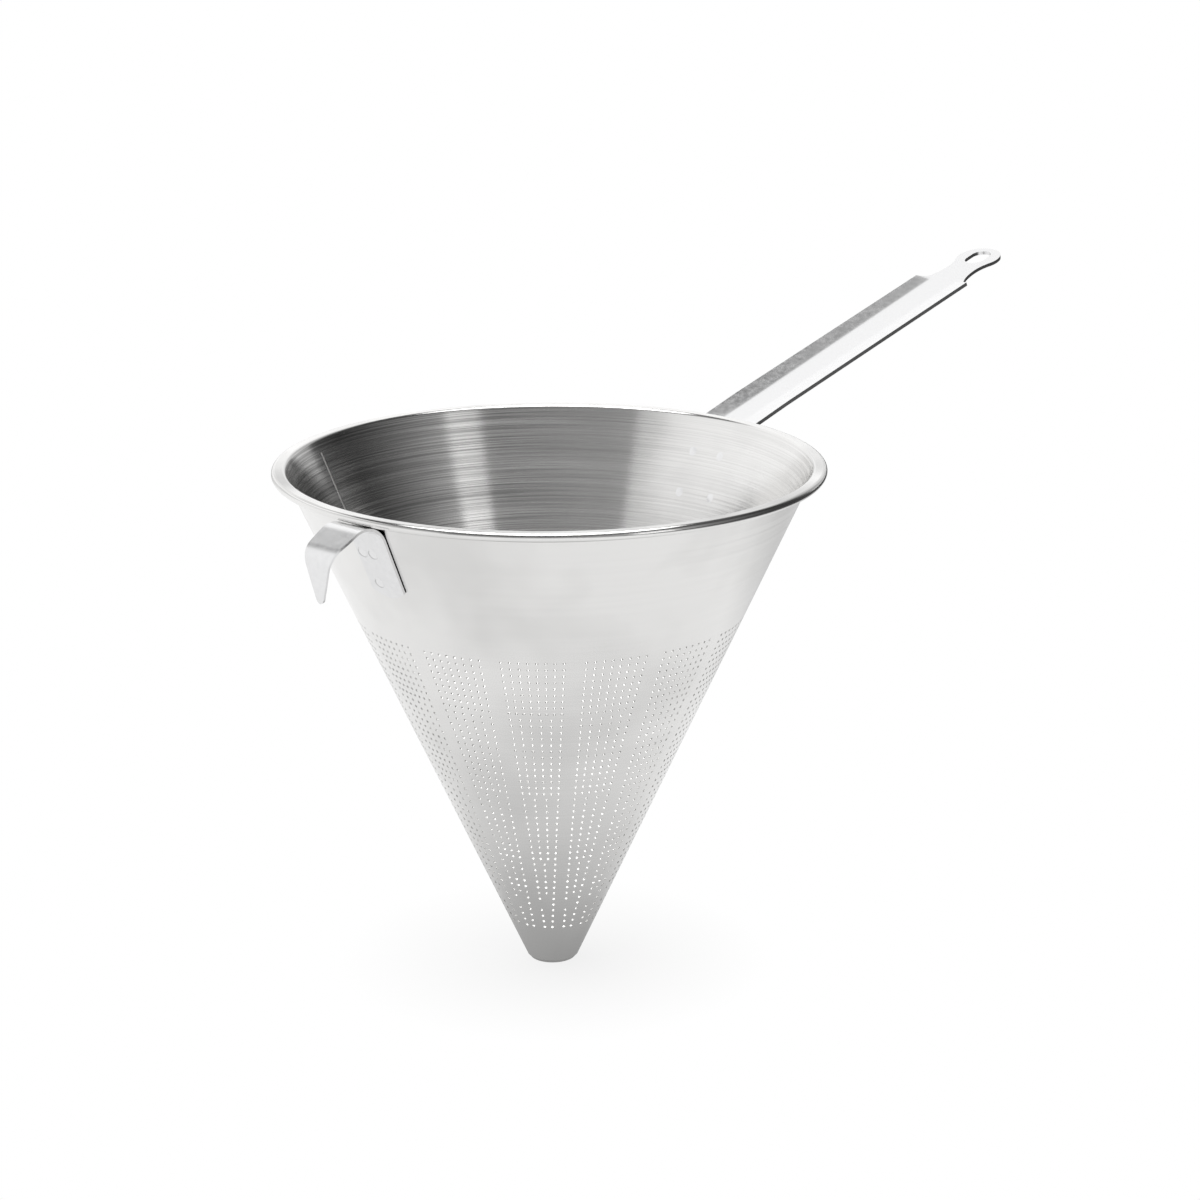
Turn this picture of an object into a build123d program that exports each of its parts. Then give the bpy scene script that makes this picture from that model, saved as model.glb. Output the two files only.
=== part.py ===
from build123d import *
import os
from math import cos, degrees, radians, sin, tan

# Chinois strainer. Millimetres. Z is the cone's axis, X points along the handle,
# and the origin is the centre of the tip's bottom face.

# Cone sheet
mouth_radius = 100.0
cone_height = 200.2
half_angle = 24.58
sheet_thickness = 0.73

# Rim curl
curl_radius = 1.68
bead_outer_radius = 105.05
curl_lip_gap = 0.5

# Tip cap
cap_shoulder_height = 1.6
cap_edge_radius = 1.3
cap_thickness = 0.8
cap_skirt_height = 6.0

# Perforations: fifteen panels of rows that thin out towards the tip. Each group of rows is given by
# its last row, the holes that the real panel has in a row, and how many of them the solid keeps
panel_count = 15
first_panel_bearing = 1.0
top_row_slant = 180.17
row_pitch = 3.12
row_count = 45
edge_column_start = 1.45
edge_column_growth = 0.0738
edge_column_slant = 42.2
row_step = 4
row_groups = ((8, 8, 4), (21, 6, 3), (32, 4, 2), (38, 3, 2), (44, 2, 2))
hole_side = 1.1
punch_reach = 1.5

# Side seam
seam_bearing = 108.0
seam_width = 1.5
seam_crown = 0.16
seam_below_curl = 1.2

# Handle strip
strip_thickness = 1.5
strip_half_width = 13.2
gutter_rise = 1.4
gutter_fade_rise = 0.05
floor_half_width_at_rim = 5.2
floor_half_width_at_end = 6.7
foot_gutter_rise = 0.9
arm_slope = 14.3
arm_gauge_reach = 112.2
arm_gauge_height = 198.1
bend_radius = 6.0
foot_bottom_height = 162.0
foot_corner_radius = 4.0
gutter_full_reach = 125.0
gutter_end_reach = 247.0
shoulder_reach = 252.8
neck_reach = 267.4
neck_half_width = 7.1
head_reach = 279.7
head_radius = 9.8
eye_length = 13.3
eye_width = 8.8

# Pot hook strip
hook_thickness = 1.0
plate_half_width = 8.0
plate_bottom_slant = 205.0
plate_corner_rise = 3.0
arch_radius = 11.0
arch_centre_reach = 106.4
arch_half_width = 8.5
finger_slope = 27.5
finger_run = 7.6
finger_knuckle_radius = 8.0
finger_drop_lean = 4.5
finger_tip_height = 171.1
finger_gauge_heights = (194.0, 189.0, 184.0, 178.0, 173.0)
finger_gauge_half_widths = (8.5, 7.0, 5.3, 3.5, 1.9)
outline_margin = 3.0

# Spot welds
nugget_diameter = 4.5
dimple_depth = 0.15
handle_weld_heights = (186.2, 170.6)
handle_weld_offsets = (7.0, 8.0)
hook_weld_slants = (224.5, 224.5, 211.1)
hook_weld_offsets = (5.7, 0.5, 3.0)

# Derived cone geometry
wall_angle = radians(half_angle)
wall_across = sheet_thickness / cos(wall_angle)
outer_mouth_radius = mouth_radius + wall_across
apex_height = cone_height - outer_mouth_radius / tan(wall_angle)
along_wall = Vector(sin(wall_angle), 0, cos(wall_angle))
out_of_wall = Vector(cos(wall_angle), 0, -sin(wall_angle))


def outer_radius(height):
    return (height - apex_height) * tan(wall_angle)


def inner_radius(height):
    return outer_radius(height) - wall_across


def wall_place(slant, bearing):
    # A place on the wall's outer face, with its local Z pointing out of the wall
    turn = radians(bearing)
    reach = slant * sin(wall_angle)
    spot = (reach * cos(turn), reach * sin(turn), apex_height + slant * cos(wall_angle))
    up_the_wall = (sin(wall_angle) * cos(turn), sin(wall_angle) * sin(turn), cos(wall_angle))
    outward = (cos(wall_angle) * cos(turn), cos(wall_angle) * sin(turn), -sin(wall_angle))
    return Plane(origin=spot, x_dir=up_the_wall, z_dir=outward)


def slant_at(height):
    return (height - apex_height) / cos(wall_angle)


os.makedirs("parts", exist_ok=True)

# Cone: the wall and the open curl at the rim, in one profile
curl_turn = 90 - half_angle
curl_start_reach = mouth_radius + curl_radius * (1 - sin(wall_angle)) / cos(wall_angle)
curl_flat = bead_outer_radius - curl_radius - curl_start_reach
curl_start = (
    curl_start_reach - curl_radius * cos(wall_angle),
    cone_height - curl_radius * (1 - sin(wall_angle)),
)
lip_end_reach = outer_radius(cone_height - 2 * curl_radius) + curl_lip_gap
lip_length = bead_outer_radius - curl_radius - lip_end_reach
hollow_radius = curl_radius - sheet_thickness
wall_foot = cap_shoulder_height


def kept_in_row(row):
    return next(kept for last_row, full, kept in row_groups if row <= last_row)


hole_places = []
for panel in range(panel_count):
    panel_bearing = first_panel_bearing + panel * 360 / panel_count
    for row in range(0, row_count, row_step):
        slant = top_row_slant - row * row_pitch
        edge_offset = edge_column_start + edge_column_growth * (slant - edge_column_slant)
        kept = kept_in_row(row)
        for column in range(kept):
            offset = edge_offset * (2 * column / (kept - 1) - 1)
            bearing = panel_bearing + degrees(offset / (slant * sin(wall_angle)))
            hole_places.append(wall_place(slant, bearing))

# Spot weld places: the handle's are on the wall, the hook's in the flat plate's plane
handle_weld_places = []
for height, offset in zip(handle_weld_heights, handle_weld_offsets):
    for side in (1, -1):
        bearing = degrees(side * offset / outer_radius(height))
        handle_weld_places.append(wall_place(slant_at(height), bearing))

hook_plane = Plane(
    origin=(0, 0, apex_height),
    x_dir=(-sin(wall_angle), 0, cos(wall_angle)),
    z_dir=(-cos(wall_angle), 0, -sin(wall_angle)),
)
hook_weld_places = []
for slant, offset in zip(hook_weld_slants, hook_weld_offsets):
    spot = hook_plane.from_local_coords(Vector(slant, offset, 0))
    hook_weld_places.append(Plane(origin=spot, x_dir=hook_plane.x_dir, z_dir=hook_plane.z_dir))

hole_punch = Box(hole_side, hole_side, 2 * punch_reach)
weld_punch = Cylinder(nugget_diameter / 2, 4 * punch_reach)
hole_punches = [place * hole_punch for place in hole_places]
weld_punches = [place * weld_punch for place in handle_weld_places + hook_weld_places]

# Tip cap: a shoulder flush with the wall and a skirt inside it
cap_floor_radius = outer_radius(0) - cap_edge_radius
skirt_top_radius = inner_radius(cap_skirt_height)
with BuildPart() as tip_cap:
    with BuildSketch(Plane.XZ):
        with BuildLine():
            floor_under = Line((0, 0), (cap_floor_radius, 0))
            edge_turn = JernArc(floor_under @ 1, floor_under % 1, cap_edge_radius, 90 - half_angle)
            shoulder_side = Line(edge_turn @ 1, (outer_radius(wall_foot), wall_foot))
            shoulder_top = Line(shoulder_side @ 1, (inner_radius(wall_foot), wall_foot))
            skirt_side = Line(shoulder_top @ 1, (skirt_top_radius, cap_skirt_height))
            skirt_top = Line(skirt_side @ 1, (skirt_top_radius - cap_thickness, cap_skirt_height))
            skirt_inside = Line(
                skirt_top @ 1,
                (inner_radius(cap_thickness) - cap_thickness, cap_thickness),
            )
            floor_top = Line(skirt_inside @ 1, (0, cap_thickness))
            Line(floor_top @ 1, floor_under @ 0)
        make_face()
    revolve(axis=Axis.Z)
tip_cap.part.label = "tip_cap"
export_step(tip_cap.part, "parts/tip_cap.step")

# Side seam: a crowned bead of weld metal filling the joint of the rolled sheet, from the cap to under the curl
seam_foot = wall_place(slant_at(wall_foot), seam_bearing)
seam_length = slant_at(cone_height - 2 * curl_radius - seam_below_curl) - slant_at(wall_foot)
seam_section = Plane(
    origin=seam_foot.from_local_coords(Vector(0, 0, -sheet_thickness / 2)),
    x_dir=seam_foot.y_dir,
    z_dir=seam_foot.x_dir,
)
with BuildPart() as seam_weld:
    with BuildSketch(seam_section):
        Ellipse(seam_width / 2, sheet_thickness / 2 + seam_crown)
    extrude(amount=seam_length)
seam_weld.part.label = "seam_weld"
export_step(seam_weld.part, "parts/seam_weld.step")

# Perforated cone: the wall and its curl turned about the axis, then every hole punched
with BuildPart() as strainer_cone:
    with BuildSketch(Plane.XZ):
        with BuildLine():
            inner_wall = Line((inner_radius(wall_foot), wall_foot), curl_start)
            inner_turn = JernArc(inner_wall @ 1, inner_wall % 1, curl_radius, -curl_turn)
            top_flat = Line(inner_turn @ 1, (inner_turn @ 1) + Vector(curl_flat, 0))
            outer_turn = JernArc(top_flat @ 1, top_flat % 1, curl_radius, -180)
            lip_under = Line(outer_turn @ 1, (outer_turn @ 1) - Vector(lip_length, 0))
            lip_edge = Line(lip_under @ 1, (lip_under @ 1) + Vector(0, sheet_thickness))
            lip_top = Line(lip_edge @ 1, (lip_edge @ 1) + Vector(lip_length, 0))
            hollow_outer_turn = JernArc(lip_top @ 1, lip_top % 1, hollow_radius, 180)
            hollow_flat = Line(hollow_outer_turn @ 1, (hollow_outer_turn @ 1) - Vector(curl_flat, 0))
            hollow_wall_turn = JernArc(hollow_flat @ 1, hollow_flat % 1, hollow_radius, curl_turn)
            outer_wall = Line(hollow_wall_turn @ 1, (outer_radius(wall_foot), wall_foot))
            Line(outer_wall @ 1, inner_wall @ 0)
        make_face()
    revolve(axis=Axis.Z)
    add(seam_weld.part, mode=Mode.SUBTRACT, clean=False)
    add(weld_punches, mode=Mode.SUBTRACT, clean=False)
    add(hole_punches, mode=Mode.SUBTRACT, clean=False)
strainer_cone.part.label = "strainer_cone"
export_step(strainer_cone.part, "parts/strainer_cone.step")

# Handle: foot, bend, gutter arm and flat head of one strip
arm_angle = radians(arm_slope)
corner_reach = (
    (arm_gauge_height - arm_gauge_reach * tan(arm_angle) - apex_height) * tan(wall_angle)
    / (1 - tan(arm_angle) * tan(wall_angle))
)
corner_height = corner_reach / tan(wall_angle) + apex_height
bend_turn = 90 - half_angle - arm_slope
bend_run = bend_radius * tan(radians(bend_turn / 2))
corner = Vector(corner_reach, 0, corner_height)
along_arm = Vector(cos(arm_angle), 0, sin(arm_angle))
above_arm = Vector(-sin(arm_angle), 0, cos(arm_angle))
bend_start = corner - along_wall * bend_run
bend_end = corner + along_arm * bend_run
bend_centre = bend_start + out_of_wall * bend_radius
foot_start = wall_place(slant_at(foot_bottom_height), 0).origin
foot_length = (bend_start - foot_start).length


def strip_section(rise, floor_half_width):
    # The strip's cross-section: a flat floor between two raised flanks
    return [
        (-strip_half_width, rise),
        (-floor_half_width, 0),
        (floor_half_width, 0),
        (strip_half_width, rise),
        (strip_half_width, rise - strip_thickness),
        (floor_half_width, -strip_thickness),
        (-floor_half_width, -strip_thickness),
        (-strip_half_width, rise - strip_thickness),
    ]


def arm_section_plane(reach):
    # A plane across the arm at a given distance from the cone's axis
    spot = bend_end + along_arm * ((reach - bend_end.X) / cos(arm_angle))
    return Plane(origin=spot, x_dir=(0, 1, 0), z_dir=along_arm)


arm_stations = (
    (bend_end.X, foot_gutter_rise, floor_half_width_at_rim),
    (gutter_full_reach, gutter_rise, floor_half_width_at_rim),
    (gutter_end_reach, gutter_rise, floor_half_width_at_end),
    (shoulder_reach, gutter_fade_rise, floor_half_width_at_end),
)

with BuildPart() as wall_core:
    with BuildSketch(Plane.XZ):
        Polygon((0, 0), (outer_radius(0), 0), (outer_radius(cone_height), cone_height), (0, cone_height),
                align=None)
    revolve(axis=Axis.Z)

with BuildPart() as foot_outline:
    with BuildSketch(Plane(origin=foot_start, x_dir=(0, 1, 0), z_dir=out_of_wall)):
        with Locations((0, foot_length)):
            RectangleRounded(2 * strip_half_width, 2 * foot_length, foot_corner_radius)
    extrude(amount=outline_margin, both=True)

# The head's outline, measured along the arm from the gauge point
shoulder_run = (shoulder_reach - arm_gauge_reach) / cos(arm_angle)
neck_run = (neck_reach - arm_gauge_reach) / cos(arm_angle)
head_run = (head_reach - arm_gauge_reach) / cos(arm_angle)
neck_to_head = head_run - neck_run
neck_fillet_radius = (neck_to_head**2 + neck_half_width**2 - head_radius**2) / (
    2 * (head_radius - neck_half_width)
)
fillet_centre = Vector(neck_run, neck_half_width + neck_fillet_radius)
head_centre = Vector(head_run, 0)
touch = head_centre + (fillet_centre - head_centre).normalized() * head_radius
fillet_middle_way = ((Vector(neck_run, neck_half_width) + touch) * (1 / 2) - fillet_centre).normalized()
fillet_middle = fillet_centre + fillet_middle_way * neck_fillet_radius

with BuildPart() as handle:
    with BuildSketch(Plane(origin=foot_start, x_dir=(0, 1, 0), z_dir=along_wall)):
        Polygon(*strip_section(foot_gutter_rise, floor_half_width_at_rim), align=None)
    extrude(amount=foot_length)
    add(foot_outline.part, mode=Mode.INTERSECT)
    with BuildSketch(Plane(origin=bend_start, x_dir=(0, 1, 0), z_dir=along_wall)):
        Polygon(*strip_section(foot_gutter_rise, floor_half_width_at_rim), align=None)
    revolve(axis=Axis(bend_centre, (0, 1, 0)), revolution_arc=bend_turn)
    for (near_reach, near_rise, near_floor), (far_reach, far_rise, far_floor) in zip(
        arm_stations, arm_stations[1:]
    ):
        with BuildSketch(arm_section_plane(near_reach)):
            Polygon(*strip_section(near_rise, near_floor), align=None)
        with BuildSketch(arm_section_plane(far_reach)):
            Polygon(*strip_section(far_rise, far_floor), align=None)
        loft(ruled=True)
    with BuildSketch(
        Plane(origin=(arm_gauge_reach, 0, arm_gauge_height), x_dir=along_arm, z_dir=above_arm)
    ):
        with BuildLine():
            Line((shoulder_run, strip_half_width), (shoulder_run, -strip_half_width))
            Line((shoulder_run, -strip_half_width), (neck_run, -strip_half_width))
            Line((neck_run, -strip_half_width), (neck_run, strip_half_width))
            Line((neck_run, strip_half_width), (shoulder_run, strip_half_width))
        make_face()
        with Locations((neck_run, strip_half_width), (neck_run, -strip_half_width)):
            Ellipse(neck_run - shoulder_run, strip_half_width - neck_half_width, mode=Mode.SUBTRACT)
        with BuildLine():
            ThreePointArc(
                (neck_run, neck_half_width), (fillet_middle.X, fillet_middle.Y), (touch.X, touch.Y)
            )
            Line((touch.X, touch.Y), (touch.X, -touch.Y))
            ThreePointArc(
                (touch.X, -touch.Y), (fillet_middle.X, -fillet_middle.Y), (neck_run, -neck_half_width)
            )
            Line((neck_run, -neck_half_width), (neck_run, neck_half_width))
        make_face()
        with Locations((head_run, 0)):
            Circle(head_radius)
            SlotOverall(eye_length, eye_width, mode=Mode.SUBTRACT)
    extrude(amount=-strip_thickness)
    add(wall_core.part, mode=Mode.SUBTRACT, clean=False)
    add(weld_punches, mode=Mode.SUBTRACT, clean=False)
handle.part.label = "handle"
export_step(handle.part, "parts/handle.step")

# Nuggets fill both sheets and stop a dimple's depth inside each outer face
with BuildPart() as handle_spot_welds:
    with BuildSketch(*[place.offset(dimple_depth - sheet_thickness) for place in handle_weld_places]):
        Circle(nugget_diameter / 2)
    extrude(amount=sheet_thickness + strip_thickness - 2 * dimple_depth)
handle_spot_welds.part.label = "handle_spot_welds"
export_step(handle_spot_welds.part, "parts/handle_spot_welds.step")

# Pot hook: a plate on the wall, an arch outside the rim and a tapering finger
arch_inner_radius = arch_radius - hook_thickness
knuckle_inner_radius = finger_knuckle_radius - hook_thickness
arch_centre_height = apex_height + (arch_centre_reach * cos(wall_angle) - arch_radius) / sin(wall_angle)
arch_start_slant = (arch_centre_reach * sin(wall_angle)
                    + (arch_centre_height - apex_height) * cos(wall_angle))
plate_start_slant = plate_bottom_slant - outline_margin
plate_run = arch_start_slant - plate_start_slant
half_arch = 90 - half_angle
knuckle_turn = 90 + finger_drop_lean - finger_slope
hook_side = Plane(origin=(0, 0, 0), x_dir=(-1, 0, 0), z_dir=(0, 1, 0))
plate_foot = (plate_start_slant * sin(wall_angle), apex_height + plate_start_slant * cos(wall_angle))
wall_way = Vector(sin(wall_angle), cos(wall_angle))

with BuildPart() as hook_plate:
    with BuildSketch(hook_side):
        with BuildLine():
            plate_line = Line(plate_foot, Vector(*plate_foot) + wall_way * plate_run)
            plate_arch = JernArc(plate_line @ 1, wall_way, arch_radius, -half_arch)
            arch_cut = Line(plate_arch @ 1, (plate_arch @ 1) - Vector(0, hook_thickness))
            under_arch = JernArc(arch_cut @ 1, (-1, 0), arch_inner_radius, half_arch)
            plate_face = Line(under_arch @ 1, (under_arch @ 1) - wall_way * plate_run)
            Line(plate_face @ 1, plate_line @ 0)
        make_face()
    extrude(amount=arch_half_width + outline_margin, both=True)
    with BuildSketch(hook_plane):
        with BuildLine():
            plate_end = ThreePointArc(
                (plate_bottom_slant + plate_corner_rise, plate_half_width),
                (plate_bottom_slant, 0),
                (plate_bottom_slant + plate_corner_rise, -plate_half_width),
            )
            plate_side = Line(plate_end @ 1, (arch_start_slant, -plate_half_width))
            plate_flare = Line(plate_side @ 1, (arch_start_slant + arch_radius, -arch_half_width))
            plate_top = Line(plate_flare @ 1, (arch_start_slant + arch_radius, arch_half_width))
            far_flare = Line(plate_top @ 1, (arch_start_slant, plate_half_width))
            Line(far_flare @ 1, plate_end @ 0)
        make_face()
    extrude(amount=2 * arch_radius, both=True, mode=Mode.INTERSECT)
    add(weld_punches, mode=Mode.SUBTRACT, clean=False)

finger_base = finger_gauge_heights[-1]
finger_base_half_width = finger_gauge_half_widths[-1]
finger_top = cone_height + outline_margin
with BuildPart() as hook_finger:
    with BuildSketch(hook_side):
        with BuildLine():
            arch_top = (arch_centre_reach, arch_centre_height + arch_radius)
            finger_arch = JernArc(arch_top, (1, 0), arch_radius, -finger_slope)
            finger_fall = Line(finger_arch @ 1, (finger_arch @ 1) + (finger_arch % 1) * finger_run)
            knuckle = JernArc(finger_fall @ 1, finger_fall % 1, finger_knuckle_radius, -knuckle_turn)
            drop_run = ((knuckle @ 1).Y - finger_tip_height) / cos(radians(finger_drop_lean))
            finger_drop = Line(knuckle @ 1, (knuckle @ 1) + (knuckle % 1) * drop_run)
            inward = Vector(-cos(radians(finger_drop_lean)), sin(radians(finger_drop_lean)))
            finger_end = Line(finger_drop @ 1, (finger_drop @ 1) + inward * hook_thickness)
            drop_back = Line(finger_end @ 1, (finger_end @ 1) - (knuckle % 1) * drop_run)
            knuckle_inside = JernArc(
                drop_back @ 1, drop_back % 1, knuckle_inner_radius, knuckle_turn
            )
            fall_back = Line(
                knuckle_inside @ 1, (knuckle_inside @ 1) + (knuckle_inside % 1) * finger_run
            )
            arch_inside = JernArc(fall_back @ 1, fall_back % 1, arch_inner_radius, finger_slope)
            Line(arch_inside @ 1, finger_arch @ 0)
        make_face()
    extrude(amount=arch_half_width + outline_margin, both=True)
    with BuildSketch(Plane(origin=(0, 0, 0), x_dir=(0, 1, 0), z_dir=(1, 0, 0))):
        with BuildLine():
            near_edge = [
                (width, height) for width, height in zip(finger_gauge_half_widths, finger_gauge_heights)
            ]
            near_side = Polyline((arch_half_width, finger_top), *near_edge)
            ThreePointArc(
                near_side @ 1, (0, finger_tip_height), (-finger_base_half_width, finger_base)
            )
            far_edge = [(-width, height) for width, height in reversed(near_edge)]
            far_side = Polyline(*far_edge, (-arch_half_width, finger_top))
            Line(far_side @ 1, near_side @ 0)
        make_face()
    extrude(amount=-2 * mouth_radius, mode=Mode.INTERSECT)

with BuildPart() as pot_hook:
    add(hook_plate.part)
    add(hook_finger.part)
pot_hook.part.label = "pot_hook"
export_step(pot_hook.part, "parts/pot_hook.step")

with BuildPart() as hook_spot_welds:
    for place in hook_weld_places:
        with BuildSketch(place.offset(dimple_depth - sheet_thickness)):
            Circle(nugget_diameter / 2)
        extrude(amount=sheet_thickness + hook_thickness - 2 * dimple_depth)
hook_spot_welds.part.label = "hook_spot_welds"
export_step(hook_spot_welds.part, "parts/hook_spot_welds.step")
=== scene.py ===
import math

import bpy
import numpy as np
from bpy.props import FloatProperty, FloatVectorProperty, IntProperty, PointerProperty
from bpy.types import Operator, Panel, PropertyGroup
from mathutils import Euler, Matrix


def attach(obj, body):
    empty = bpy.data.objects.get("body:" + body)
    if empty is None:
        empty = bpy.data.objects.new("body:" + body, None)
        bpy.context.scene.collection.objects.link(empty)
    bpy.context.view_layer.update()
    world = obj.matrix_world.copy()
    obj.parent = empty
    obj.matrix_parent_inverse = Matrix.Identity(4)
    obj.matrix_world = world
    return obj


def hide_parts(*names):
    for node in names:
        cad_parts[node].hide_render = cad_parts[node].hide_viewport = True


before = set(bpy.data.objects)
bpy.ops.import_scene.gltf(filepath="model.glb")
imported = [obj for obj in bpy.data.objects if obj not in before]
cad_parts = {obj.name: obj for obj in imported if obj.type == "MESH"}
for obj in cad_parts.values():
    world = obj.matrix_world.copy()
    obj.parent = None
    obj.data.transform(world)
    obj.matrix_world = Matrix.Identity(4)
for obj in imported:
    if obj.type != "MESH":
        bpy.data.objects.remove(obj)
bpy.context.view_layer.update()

bl_info = {
    "name": "Chinois strainer",
    "version": (1, 0, 0),
    "blender": (4, 5, 0),
    "location": "3D View > Sidebar > Strainer",
    "description": "Builds the perforated cone, handle, pot hook and studio of a chinois strainer",
    "category": "Object",
}

MM = 0.001
FULL_TURN = 2 * math.pi
# Keeps a division from nought
LEAST = 1e-9
# How far the strips stand off the wall's line, so that their faces never meet
STRIP_CLEARANCE = 0.04 * MM


def length(name, description, millimetres):
    """A property for a length given in millimetres and kept in metres."""
    return FloatProperty(
        name=name, description=description, default=millimetres * MM, unit="LENGTH", subtype="DISTANCE"
    )


def angle(name, description, degrees):
    """A property for an angle given in degrees and kept in radians."""
    return FloatProperty(
        name=name, description=description, default=math.radians(degrees), unit="ROTATION", subtype="ANGLE"
    )


def amount(name, description, value):
    """A property for a number without a unit."""
    return FloatProperty(name=name, description=description, default=value)


def colour(name, description, value):
    """A property for a plain linear colour."""
    return FloatVectorProperty(
        name=name, description=description, default=value, size=3, subtype="COLOR", min=0, max=1
    )


class ConeSizes(PropertyGroup):
    """Sizes of the perforated cone, its rolled rim and its holes"""

    mouth_radius: length("Mouth radius", "Inside the wall, at the rim's level", 100.0)
    height: length("Height", "From the tip's face to the top of the rim", 200.2)
    half_angle: angle("Half angle", "Between the wall and the axis", 24.58)
    sheet: length("Sheet", "Thickness of the sheet", 0.73)
    curl_radius: length("Curl radius", "Outer radius of the rim's curl", 1.68)
    bead_radius: length("Bead radius", "Outside of the rim", 105.05)
    curl_gap: length("Curl gap", "Between the curl's lip and the wall", 0.5)
    foot_height: length("Foot height", "Where the wall ends on the tip cap", 1.6)
    hole_diameter: length("Hole", "Diameter of a punched hole", 1.15)
    top_row: length("Top row", "Slant distance of the top row from the apex", 180.17)
    row_pitch: length("Row pitch", "Between two rows along the wall", 3.12)
    panels: IntProperty(name="Panels", description="Groups of hole columns round the cone", default=15)
    first_panel: angle("First panel", "Bearing of the first panel's middle", 1.0)
    edge_start: length("Edge column", "Half the panel's width at its narrow gauge row", 1.45)
    edge_slant: length("Edge gauge", "Slant distance of the narrow gauge row", 42.2)
    edge_growth: amount("Edge growth", "Half width gained per length", 0.0738)


class CapSizes(PropertyGroup):
    """Sizes of the pressed cap that closes the tip"""

    edge_radius: length("Edge radius", "Rounding of the cap's bottom edge", 1.3)
    thickness: length("Thickness", "Thickness of the cap", 0.8)
    skirt_height: length("Skirt height", "Top of the skirt inside the cone", 6.0)


class SeamSizes(PropertyGroup):
    """Sizes of the weld along the rolled sheet's joint"""

    bearing: angle("Bearing", "Where the seam is round the cone", 108.0)
    width: length("Width", "Width of the weld", 1.5)
    crown: length("Crown", "How far the weld stands proud of the sheet", 0.14)
    below_curl: length("Below curl", "Between the weld's end and the curl", 1.2)


class HandleSizes(PropertyGroup):
    """Sizes of the handle strip and its hanging eye"""

    thickness: length("Thickness", "Thickness of the strip", 1.5)
    half_width: length("Half width", "Half the strip's width", 13.2)
    edge_bevel: length("Edge bevel", "Rounding of the strip's edges", 0.3)
    floor_near: length("Floor near", "Half the gutter floor's width at the rim", 5.2)
    floor_far: length("Floor far", "Half the gutter floor's width at its end", 6.7)
    flank_slope: amount("Flank slope", "Rise of the flanks per width", 0.19)
    crease: length("Crease", "Softness of the line between floor and flank", 0.5)
    arm_slope: angle("Arm slope", "Rise of the arm above level", 14.3)
    gauge_reach: length("Gauge reach", "Distance from the axis of the arm's gauge point", 112.2)
    gauge_height: length("Gauge height", "Height of the arm's gauge point", 198.1)
    bend_radius: length("Bend radius", "Upper radius of the bend under the rim", 6.0)
    foot_bottom: length("Foot bottom", "Height of the foot's lower end", 162.0)
    foot_corner: length("Foot corner", "Radius of the foot's corners", 4.0)
    gutter_full: length("Gutter full", "Where the gutter has its full depth", 125.0)
    gutter_end: length("Gutter end", "Where the flanks begin to close", 252.2)
    gutter_close: length("Gutter close", "Where the flanks are gone", 256.6)
    shoulder: length("Shoulder", "Distance of the shoulders from the axis", 252.8)
    neck: length("Neck", "Distance of the neck from the axis", 267.4)
    neck_half: length("Neck half width", "Half the neck's width", 7.1)
    head: length("Head", "Distance of the head's centre from the axis", 279.7)
    head_radius: length("Head radius", "Radius of the rounded head", 9.8)
    eye_length: length("Eye length", "Length of the hanging eye", 13.3)
    eye_width: length("Eye width", "Width of the hanging eye", 8.8)
    eye_margin: length("Eye margin", "Between the eye and the head's first row", 1.6)


class HookSizes(PropertyGroup):
    """Sizes of the pot hook"""

    thickness: length("Thickness", "Thickness of the strip", 1.0)
    edge_bevel: length("Edge bevel", "Rounding of the strip's edges", 0.22)
    plate_half: length("Plate half width", "Half the plate's width", 8.0)
    plate_bottom: length("Plate bottom", "Slant distance of the plate's lowest point", 205.0)
    corner_rise: length("Corner rise", "How much higher the plate's corners are", 3.0)
    arch_radius: length("Arch radius", "Outer radius of the arch", 11.0)
    arch_reach: length("Arch reach", "Distance of the arch's centre from the axis", 106.4)
    arch_half: length("Arch half width", "Half the strip's width on the arch", 8.5)
    finger_slope: angle("Finger slope", "Fall of the strip after the arch", 27.5)
    finger_run: length("Finger run", "Length of the straight fall", 7.6)
    knuckle_radius: length("Knuckle radius", "Outer radius of the lower bend", 8.0)
    lean: angle("Lean", "Lean of the finger back to the cone", 4.5)
    tip_height: length("Tip height", "Height of the finger's tip", 171.1)


class WeldSizes(PropertyGroup):
    """Sizes of a spot weld's mark"""

    diameter: length("Diameter", "Diameter of a spot weld's mark", 4.5)
    lip: length("Lip", "How far a mark's ring stands proud", 0.14)


class Finish(PropertyGroup):
    """Colours of the metals and the floor"""

    sheet_colour: colour("Sheet", "Colour of the perforated sheet", (0.86, 0.855, 0.845))
    strip_colour: colour("Strip", "Colour of the handle and hook", (0.86, 0.86, 0.865))
    weld_colour: colour("Weld", "Colour of the weld metal", (0.70, 0.69, 0.675))
    floor_colour: colour("Floor", "Colour of the floor", (0.86, 0.86, 0.86))


class Studio(PropertyGroup):
    """The camera, the walls and the lamp"""

    focal_length: amount("Lens", "Focal length in millimetres on the sensor", 97.55)
    wall_level: amount("Walls", "Level of the studio's brightest wall", 1.3)
    ceiling_level: amount("Ceiling", "Level of the ceiling round the lamp", 0.12)
    lamp_watts: amount("Lamp", "Power of the large soft lamp in watts", 27.0)
    lamp_width: length("Lamp width", "Width of the large soft lamp", 1900.0)
    lamp_height: length("Lamp height", "Height of the large soft lamp", 1900.0)


GROUPS = {
    "strainer_cone": ConeSizes,
    "strainer_cap": CapSizes,
    "strainer_seam": SeamSizes,
    "strainer_handle": HandleSizes,
    "strainer_hook": HookSizes,
    "strainer_welds": WeldSizes,
    "strainer_finish": Finish,
    "strainer_studio": Studio,
}


# Cone geometry shared by the pieces


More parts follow.
